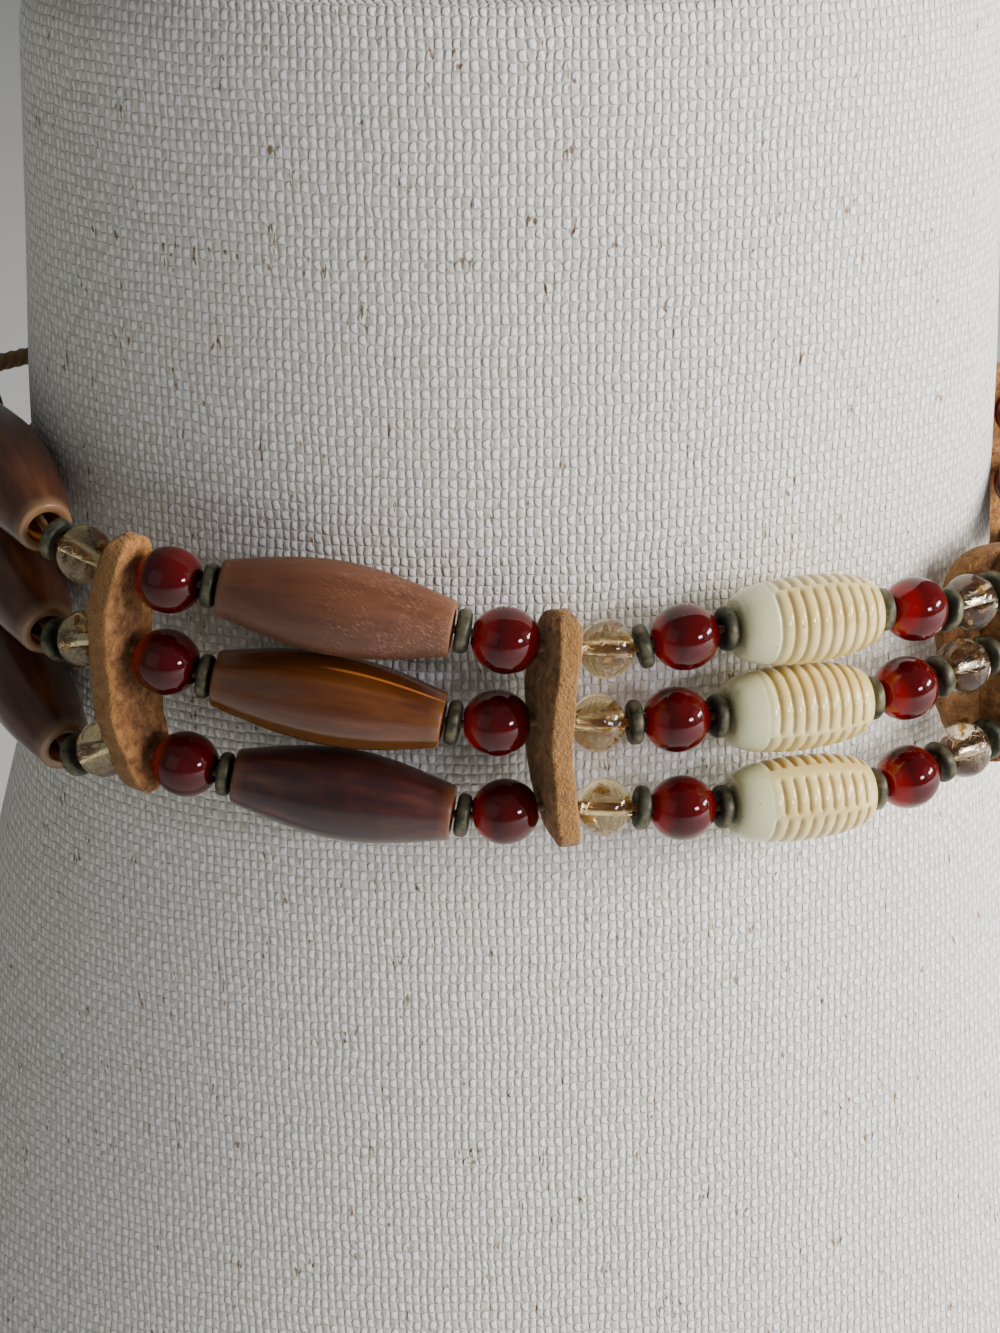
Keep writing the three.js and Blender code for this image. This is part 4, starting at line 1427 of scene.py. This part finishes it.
def mark_bead(piece: bpy.types.Object, local: np.ndarray, half: float, girth: float) -> None:
    """Stores where in its own bead each vertex lies, from -1 to 1 along, outwards and up.

    Args:
        piece: The bead.
        local: Its points in its own frame.
        half: Half of its length.
        girth: Half of its diameter.
    """
    flat = local.reshape(-1, 3)
    vectors = (flat / np.array([half, girth, girth])).astype(np.float32)
    attribute = piece.data.attributes.new("bead", "FLOAT_VECTOR", "POINT")
    attribute.data.foreach_set("vector", vectors.ravel())


@dataclass
class NeckBust:
    """The linen-covered form: ovals |x/a|^n + |y/b|^n = 1 lofted through a table of widths."""

    height: float = 197 * MM
    half_width: float = 59.4 * MM
    half_depth: float = 40.8 * MM
    power: float = 2.15
    table: tuple[tuple[float, float], ...] = (
        (0.0, 1.6), (0.03, 1.63), (0.13, 1.5), (0.25, 1.33), (0.36, 1.21), (0.44, 1.145),
        (0.52, 1.068), (0.6, 1.018), (0.68, 0.995), (0.76, 0.985), (0.85, 0.965),
        (0.97, 0.943), (0.99, 0.925), (1.0, 0.888),
    )  # fmt: skip
    columns: int = 288
    side_rows: int = 126
    end_rows: tuple[int, int] = (8, 18)
    fine_ends: tuple[float, float] = (0.03, 0.96)
    cap_shares: tuple[float, ...] = (0.97, 0.9, 0.7, 0.4)
    softening: float = 0.012

    def widths(self, share: np.ndarray) -> np.ndarray:
        """Widths by the table's straight lines, averaged over a little height.

        Args:
            share: Shares of the height.

        Returns:
            Widths as shares of the neck's own.
        """
        places, values = (np.array(x) for x in zip(*self.table))
        around = np.linspace(-1, 1, 9) * self.softening
        room = np.minimum(share, 1 - share)[:, None]
        reach = np.sign(around)[None, :] * np.minimum(np.abs(around)[None, :], room)
        return np.interp(share[:, None] + reach, places, values).mean(axis=1)

    def build(self) -> bpy.types.Object:
        """Makes the form as one closed surface, with cloth positions for the weave.

        Returns:
            The piece.
        """
        (low, high), (low_rows, high_rows) = self.fine_ends, self.end_rows
        middle = np.linspace(low, high, self.side_rows)
        below, above = np.linspace(0, low, low_rows), np.linspace(high, 1.0, high_rows)
        share = np.concatenate([below[:-1], middle, above[1:]])
        scale = self.widths(share)
        rows = len(share)
        angle = even_angles(self.columns) + math.pi
        sine, cosine = np.sin(angle), np.cos(angle)
        x = self.half_width * np.sign(sine) * np.abs(sine) ** (2 / self.power)
        y = -self.half_depth * np.sign(cosine) * np.abs(cosine) ** (2 / self.power)
        side = np.stack(
            [
                scale[:, None] * x[None, :],
                scale[:, None] * y[None, :],
                spread(share * self.height, self.columns),
            ],
            axis=-1,
        )
        inward = np.array([[[s, s, 1.0]] for s in self.cap_shares])
        grid = np.concatenate([side[0] * inward[::-1], side, side[-1] * inward])
        ends = np.array([[0, 0, 0], [0, 0, self.height]])
        points = np.concatenate([grid.reshape(-1, 3), ends])
        shell = Shell()
        faces = [grid_quads(len(grid), self.columns), pole_fans(len(grid), self.columns)]
        shell.add(points, faces, points / MM)
        piece = shell.make("neck_form")
        self.lay_cloth(piece, grid, len(inward), rows)
        return piece

    def lay_cloth(
        self, piece: bpy.types.Object, grid: np.ndarray, flat_rows: int, rows: int
    ) -> None:
        """Stores each face corner's place on the cloth in millimetres: round, and up the side.

        Args:
            piece: The form.
            grid: Its points, rows by columns by 3.
            flat_rows: Rows of the underside, and of the top.
            rows: Rows of the side.
        """
        closed = np.concatenate([grid, grid[:, :1]], axis=1)
        step = np.linalg.norm(np.diff(closed, axis=1), axis=2)
        around = np.concatenate([np.zeros((len(grid), 1)), np.cumsum(step, axis=1)], axis=1)
        around -= around[:, -1:] / 2
        climb = np.linalg.norm(np.diff(grid, axis=0), axis=2).mean(axis=1)
        up = np.concatenate([[0.0], np.cumsum(climb)])
        corner_count = len(piece.data.loops)
        vertex = np.zeros(corner_count, np.int32)
        piece.data.loops.foreach_get("vertex_index", vertex)
        start = np.zeros(len(piece.data.polygons), np.int32)
        total = np.zeros(len(piece.data.polygons), np.int32)
        piece.data.polygons.foreach_get("loop_start", start)
        piece.data.polygons.foreach_get("loop_total", total)
        face_of = np.repeat(np.arange(len(total)), total)
        row, column = np.divmod(vertex, self.columns)
        last_column = np.zeros(len(total), bool)
        np.logical_or.at(last_column, face_of, column == self.columns - 1)
        wraps = last_column[face_of] & (column == 0)
        column = np.where(wraps, self.columns, column)
        held = np.clip(row, 0, len(grid) - 1)
        cloth = np.zeros((corner_count, 3))
        cloth[:, 0] = around[held, column]
        cloth[:, 1] = up[held]
        points = np.concatenate([grid.reshape(-1, 3), [[0, 0, 0], [0, 0, self.height]]])
        flat_face = np.zeros(len(total), bool)
        outside = (row < flat_rows) | (row >= flat_rows + rows) | (row >= len(grid))
        np.logical_or.at(flat_face, face_of, outside)
        is_flat = flat_face[face_of]
        cloth[is_flat, :2] = points[vertex[is_flat], :2]
        attribute = piece.data.attributes.new("cloth", "FLOAT_VECTOR", "CORNER")
        attribute.data.foreach_set("vector", (cloth / MM).astype(np.float32).ravel())


@dataclass
class Strand:
    """One strand: its route, its lengths of hairpipe and everything strung on it."""

    name: str
    pipe_lengths: dict[str, float]
    ring: Rondelle = field(default_factory=Rondelle)
    gaps: Gaps = field(default_factory=Gaps)
    carnelian: StoneRound = field(
        default_factory=lambda: StoneRound(7.3 * MM, 7.15 * MM, 2.0 * MM)
    )
    quartz: StoneRound = field(
        default_factory=lambda: StoneRound(6.5 * MM, 5.9 * MM, 1.3 * MM)
    )
    smokiness: tuple[float, ...] = (0.1, 0.1, 0.85, 0.85)
    cord_radius: float = 0.5 * MM
    nape_radius: float = 1.1 * MM
    swell_points: int = 4

    def piece_length(self, kind: Bead, section: str) -> float:
        """Length of a strung piece.

        Args:
            kind: What it is.
            section: Where on the strand it is.

        Returns:
            Its length along the string.
        """
        fixed = {
            Bead.RING: self.ring.thickness,
            Bead.CARNELIAN: self.carnelian.length,
            Bead.QUARTZ: self.quartz.length,
            Bead.RIBBED: RibbedBead.length,
            Bead.BAR: BAR_THICKNESS,
            Bead.HAIRPIPE: self.pipe_lengths.get(section, PIPE_LENGTH),
        }
        return fixed[kind]

    def pieces(self) -> list[Placed]:
        """Every strung piece in its place.

        Returns:
            The pieces, from the -X end to the +X end.
        """
        joints = np.array(JOINTS[self.name]) * MM
        placed = []
        for i, (section, slack, kinds) in enumerate(unit_list()):
            axis = direction_of(joints[i + 1] - joints[i])
            along = self.gaps.end(kinds[0]) + (self.gaps.corner_slack if slack else 0.0)
            for k, kind in enumerate(kinds):
                length = self.piece_length(kind, section)
                centre = joints[i] + axis * (along + length / 2)
                placed.append(Placed(kind, section, length, centre, axis))
                along += length
                if k + 1 < len(kinds):
                    along += self.gaps.between(kind, kinds[k + 1])
        return placed

    def of_kind(self, kind: Bead) -> list[Placed]:
        """The strung pieces of one kind."""
        return [piece for piece in self.pieces() if piece.kind is kind]

    def build_rings(self, finish: bpy.types.Material, seed: int) -> None:
        """Makes the strand's brass rondelles as one piece.

        Args:
            finish: Brass.
            seed: Picks their unevenness.
        """
        shell = Shell()
        for i, place in enumerate(self.of_kind(Bead.RING)):
            local, shade = self.ring.local(seed + i)
            add_turned(shell, place, local, seed + i, shade)
        piece = shell.make(f"rondelles_{self.name}")
        put_in_place(piece, finish, "brass", f"strand_{self.name}")

    def build_quartz(
        self, clear: bpy.types.Material, glint: bpy.types.Material, seed: int
    ) -> None:
        """Makes the strand's crackled rounds, and the fracture planes inside them.

        Args:
            clear: Quartz.
            glint: Fracture planes.
            seed: Picks where the planes lie.
        """
        shell, flakes = Shell(), Shell()
        for i, place in enumerate(self.of_kind(Bead.QUARTZ)):
            local = self.quartz.local()
            smoky = np.full(local.shape[:2], self.smokiness[i])
            add_turned(shell, place, local, seed + i, smoky)
            Crackle().add(flakes, place, seed + i)
        piece = shell.make(f"citrines_{self.name}")
        put_in_place(piece, clear, "citrine", f"strand_{self.name}")
        inside = flakes.make(f"citrine_crackle_{self.name}", smooth=False)
        put_in_place(inside, glint, "citrine")

    def build_cord(self, finish: bpy.types.Material) -> None:
        """Makes the thread through the beads and the bare cord to the clasp as one piece.

        Args:
            finish: Waxed thread.
        """
        shell = Shell()
        joints = np.array(JOINTS[self.name]) * MM
        TwistedCord().add(shell, joints, np.full(len(joints), self.cord_radius))
        thick = TwistedCord(3, lay_length=5.2 * MM, sides=28, ply_depth=0.22, step=0.3 * MM)
        for route in NAPE[self.name]:
            path = self.eased(np.array(route) * MM)
            radius = np.full(len(path), self.nape_radius)
            few = self.swell_points
            radius[:few] = np.linspace(self.cord_radius, self.nape_radius, few)
            thick.add(shell, path, radius)
        piece = shell.make(f"cord_{self.name}")
        put_in_place(piece, finish, "thread", f"strand_{self.name}")

    @staticmethod
    def eased(points: np.ndarray, steps: int = 10) -> np.ndarray:
        """Smooth curve through points, by cubic spans between them.

        Args:
            points: The points, one row each.
            steps: Points made for each span.

        Returns:
            The points of the curve.
        """
        slope = np.gradient(points, axis=0)
        share = np.linspace(0, 1, steps, endpoint=False)[:, None]
        spans = []
        for i in range(len(points) - 1):
            s2, s3 = share**2, share**3
            spans.append(
                (2 * s3 - 3 * s2 + 1) * points[i]
                + (s3 - 2 * s2 + share) * slope[i]
                + (3 * s2 - 2 * s3) * points[i + 1]
                + (s3 - s2) * slope[i + 1]
            )
        return np.concatenate([*spans, points[-1:]])

    def build_carnelians(self, finish: bpy.types.Material, seed: int) -> None:
        """Makes the six carnelians, each its own piece.

        Args:
            finish: Carnelian.
            seed: Moves their grain.
        """
        for i, place in enumerate(self.of_kind(Bead.CARNELIAN)):
            shell = Shell()
            local = self.carnelian.local()
            add_turned(shell, place, local, seed + i)
            piece = shell.make(f"carnelian_bead_{self.name}_{i + 1}")
            mark_bead(piece, local, self.carnelian.length / 2, self.carnelian.diameter / 2)
            put_in_place(piece, finish, "carnelian", f"carnelian_{self.name}_{i + 1}")

    def build_hairpipes(
        self,
        finishes: dict[str, bpy.types.Material],
        flats: dict[str, tuple[tuple[float, float], ...]],
        seed: int,
    ) -> None:
        """Makes the four hairpipes, each its own piece.

        Args:
            finishes: Horn by section.
            flats: Ground flats by section: angle round the bead, and distance from its axis as
                a share of its radius.
            seed: Picks their unevenness.
        """
        for i, place in enumerate(self.of_kind(Bead.HAIRPIPE)):
            pipe = Hairpipe(flats=flats.get(place.section, ()))
            local, shade = pipe.local(place.length, seed + i)
            shell = Shell()
            add_turned(shell, place, local, seed + i, shade)
            piece = shell.make(f"horn_{self.name}_{place.section}")
            mark_bead(piece, local, place.length / 2, pipe.diameter / 2)
            node = f"hairpipe_{self.name}_{place.section}"
            put_in_place(piece, finishes[place.section], "horn", node)

    def build_ribbed(
        self, finish: bpy.types.Material, lands: tuple[tuple[float, float], ...], seed: int
    ) -> None:
        """Makes the carved bone bead.

        Args:
            finish: Bone.
            lands: Angle and half width of each smooth strip, in radians round the bead.
            seed: Moves its grain.
        """
        place = self.of_kind(Bead.RIBBED)[0]
        bead = RibbedBead(lands=lands)
        local, shade = bead.local()
        shell = Shell()
        add_turned(shell, place, local, seed, shade)
        piece = shell.make(f"carved_bone_{self.name}")
        mark_bead(piece, local, bead.length / 2, bead.diameter / 2)
        put_in_place(piece, finish, "bone", f"ribbed_bead_{self.name}")


@dataclass
class SpacerBars:
    """The six leather bars that hold the strands apart."""

    plate: BentPlate = field(
        default_factory=lambda: BentPlate(
            thickness=BAR_THICKNESS,
            depth=9.6 * MM,
            overhang=4.2 * MM,
            root=3.15 * MM,
            scallop=0.7 * MM,
            unevenness=0.13 * MM,
        )
    )
    cuts: dict[int, PlateCut] = field(
        default_factory=lambda: {
            3: PlateCut(turn=math.radians(13)),
            4: PlateCut(strip=5.76 * MM, curl=math.radians(64)),
        }
    )

    def build(self, strands: list[Strand], finish: bpy.types.Material) -> None:
        """Makes one piece per bar, through its three strands.

        Args:
            strands: The strands, top first.
            finish: Leather.
        """
        places = [strand.of_kind(Bead.BAR) for strand in strands]
        for i, (top, middle, bottom) in enumerate(zip(*places)):
            shell = Shell()
            holes = np.array([bottom.centre, middle.centre, top.centre])
            cut = self.cuts.get(i + 1, PlateCut())
            self.plate.add(shell, holes, middle.axis, cut, seed=i + 1)
            piece = shell.make(f"suede_bar_{i + 1}")
            put_in_place(piece, finish, "leather", f"leather_bar_{i + 1}")


@dataclass
class NapeClasp:
    """The plain clasp on the bare cords."""

    plate: BentPlate = field(
        default_factory=lambda: BentPlate(
            thickness=7 * MM,
            depth=7 * MM,
            overhang=4 * MM,
            root=2.8 * MM,
            end_power=8.0,
            section_power=5.0,
        )
    )

    def build(self, finish: bpy.types.Material) -> None:
        """Makes the clasp as one piece.

        Args:
            finish: Brass.
        """
        shell = Shell()
        cut = PlateCut(strip=0.7 * MM)
        self.plate.add(shell, np.array(CLASP_HOLES) * MM, np.array(CLASP_AXIS), cut, seed=7)
        put_in_place(shell.make("clasp_plate"), finish, "brass", "clasp")


# Studio


@dataclass
class Studio:
    """Camera at the photograph's angle, soft light from the right, a pale floor."""

    target: Vector = field(default_factory=lambda: Vector((0.0, 0.0, 0.130)))
    distance: float = 0.2958
    azimuth: float = -0.107
    elevation: float = 0.38
    yaw: float = -0.100
    pitch: float = 0.452
    lens: float = 84.6
    sensor: float = 36.0
    clip: tuple[float, float] = (0.01, 20.0)
    floor_reach: float = 3.0

    def add_camera(self) -> None:
        """Camera by its own yaw and downward pitch, whose frame is as wide as the photograph."""
        data = bpy.data.cameras.new("camera")
        data.lens, data.sensor_width, data.sensor_fit = self.lens, self.sensor, "HORIZONTAL"
        data.clip_start, data.clip_end = self.clip
        camera = bpy.data.objects.new("camera", data)
        level = math.cos(self.elevation)
        camera.location = self.target + self.distance * Vector(
            (
                math.sin(self.azimuth) * level,
                -math.cos(self.azimuth) * level,
                math.sin(self.elevation),
            )
        )
        camera.rotation_euler = (math.pi / 2 - self.pitch, 0.0, self.yaw)
        bpy.context.scene.collection.objects.link(camera)
        bpy.context.scene.camera = camera

    def add_light(
        self, name: str, place: tuple[float, float, float], size: tuple[float, float],
        power: float, colour: Colour, glossy: bool = True,
    ) -> None:  # fmt: skip
        """Adds a soft rectangular light that faces the choker.

        Args:
            name: Its name.
            place: Where it stands.
            size: Its width and height.
            power: Watts.
            colour: Its colour.
            glossy: Whether polished pieces mirror it.
        """
        data = bpy.data.lights.new(name, "AREA")
        data.shape = "RECTANGLE"
        data.size, data.size_y = size
        data.energy, data.color = power, colour
        lamp = bpy.data.objects.new(name, data)
        lamp.location = place
        lamp.visible_glossy = glossy
        toward = (self.target - Vector(place)).to_track_quat("-Z", "Y")
        lamp.rotation_euler = toward.to_euler()
        bpy.context.scene.collection.objects.link(lamp)

    def add_lights(self) -> None:
        """Window-like key from the right, a broad soft light above it, and a weak cool fill."""
        self.add_light("window_near", (0.50, -0.55, 0.33), (0.15, 0.09), 2.2, (0.86, 0.84, 1.0))
        self.add_light("window_far", (0.74, -0.13, 0.31), (0.26, 0.09), 2.8, (1.0, 0.98, 0.96))
        warm = (1.0, 0.965, 0.92)
        self.add_light("soft_right", (1.12, -0.36, 0.46), (0.6, 0.7), 32.5, warm, glossy=False)
        self.add_light("fill_left", (-0.9, -0.7, 0.6), (0.9, 0.9), 0.5, (0.84, 1.0, 0.92))
        world = bpy.data.worlds.new("studio")
        world.use_nodes = True
        background = world.node_tree.nodes["Background"]
        background.inputs["Color"].default_value = (0.80, 0.83, 0.84, 1.0)
        background.inputs["Strength"].default_value = 0.20
        bpy.context.scene.world = world

    def add_floor(self) -> None:
        """Plain pale floor with a faint unevenness."""
        mesh = bpy.data.meshes.new("floor")
        reach = self.floor_reach
        spots = [(-reach, -reach, 0), (reach, -reach, 0), (reach, reach, 0), (-reach, reach, 0)]
        mesh.from_pydata(spots, [], [(0, 1, 2, 3)])
        floor = bpy.data.objects.new("floor", mesh)
        bpy.context.scene.collection.objects.link(floor)
        board = NodeBoard("floor")
        place = board.node("ShaderNodeTexCoord").outputs["Object"]
        cloud = board.noise(place, 3.0, 2.0)
        tone = board.ramp(cloud, (0.3, (0.70, 0.70, 0.69)), (0.7, (0.74, 0.74, 0.73)))
        floor.data.materials.append(board.finish(Base_Color=tone, Roughness=0.8))

    def build(self) -> None:
        """Makes the camera, the lights and the floor."""
        self.add_camera()
        self.add_lights()
        self.add_floor()


def horn_finishes() -> dict[str, bpy.types.Material]:
    """The horn's own tints, from matt tan to glossy amber and dark red-brown.

    Returns:
        The materials by name.
    """
    tints = (
        HornFinish(
            "horn_tan", (0.115, 0.040, 0.017), (0.150, 0.056, 0.025), (0.082, 0.027, 0.012),
            (0.17, 0.07, 0.03), roughness=0.5, scratches=0.6,
        ),
        HornFinish(
            "horn_amber", (0.098, 0.028, 0.0065), (0.140, 0.044, 0.010), (0.064, 0.016, 0.0045),
            (0.17, 0.065, 0.018), roughness=0.24, under_share=0.7, highlight_turn=1.28, highlight_share=0.9,
        ),
        HornFinish(
            "horn_smooth", (0.090, 0.026, 0.010), (0.150, 0.050, 0.018), (0.045, 0.012, 0.006),
            (0.30, 0.17, 0.08), roughness=0.28,
        ),
        HornFinish(
            "horn_dark", (0.050, 0.0115, 0.009), (0.095, 0.026, 0.015), (0.021, 0.006, 0.007),
            (0.16, 0.055, 0.018), roughness=0.30, dark_middle=0.7,
        ),
    )  # fmt: skip
    return {tint.name: tint.material() for tint in tints}


def build_choker() -> None:
    """Builds every piece of the choker in order."""
    brass = BrassFinish().material()
    thread = ThreadFinish().material()
    bone = BoneFinish().material()
    carnelian = CarnelianFinish().material()
    quartz = QuartzFinish().material()
    glint = FlakeFinish().material()
    suede = SuedeFinish().material()
    horn = horn_finishes()
    tan, amber, dark = horn["horn_tan"], horn["horn_amber"], horn["horn_dark"]
    plain = horn["horn_smooth"]
    strands = [
        Strand("top", {"right": SHORT_PIPE}),
        Strand("middle", {}),
        Strand("bottom", {"left": SHORT_PIPE, "left_end": LONG_PIPE, "right": LONG_PIPE}),
    ]
    horns = (
        {"left_end": plain, "left": tan, "right": plain, "right_end": tan},
        {"left_end": plain, "left": amber, "right": tan, "right_end": plain},
        {"left_end": plain, "left": dark, "right": dark, "right_end": dark},
    )
    # Angle round the bead, and distance from its axis as a share of its radius, of each flat.
    flats = (
        {"left": ((0.9, 0.97),)},
        {"left": ((1.25, 0.93), (-0.6, 0.97))},
        {"left": ((2.4, 0.97),)},
    )
    # Angle and half width, in radians, of each smooth strip along the ribbed beads.
    lands = (((1.25, 0.03),), ((-0.22, 0.035),), ((1.19, 0.15), (0.08, 0.045)))
    for i, strand in enumerate(strands):
        strand_seed = 100 * (i + 1)
        seeds = range(strand_seed, strand_seed + 100, 20)
        strand.build_cord(thread)
        strand.build_rings(brass, seeds[0])
        strand.build_quartz(quartz, glint, seeds[1])
        strand.build_carnelians(carnelian, seeds[2])
        strand.build_hairpipes(horns[i], flats[i], seeds[3])
        strand.build_ribbed(bone, lands[i], seeds[4])
    SpacerBars().build(strands, suede)
    NapeClasp().build(BrassFinish(name="clasp_brass").material())


def main() -> None:
    """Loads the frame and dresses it."""
    logging.basicConfig(level=logging.INFO, format="%(name)s %(message)s")
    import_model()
    Studio().build()
    bust = NeckBust().build()
    put_in_place(bust, LinenFinish().material(), "linen", "neck_bust")
    build_choker()
    bpy.context.view_layer.update()


if __name__ == "__main__":
    main()
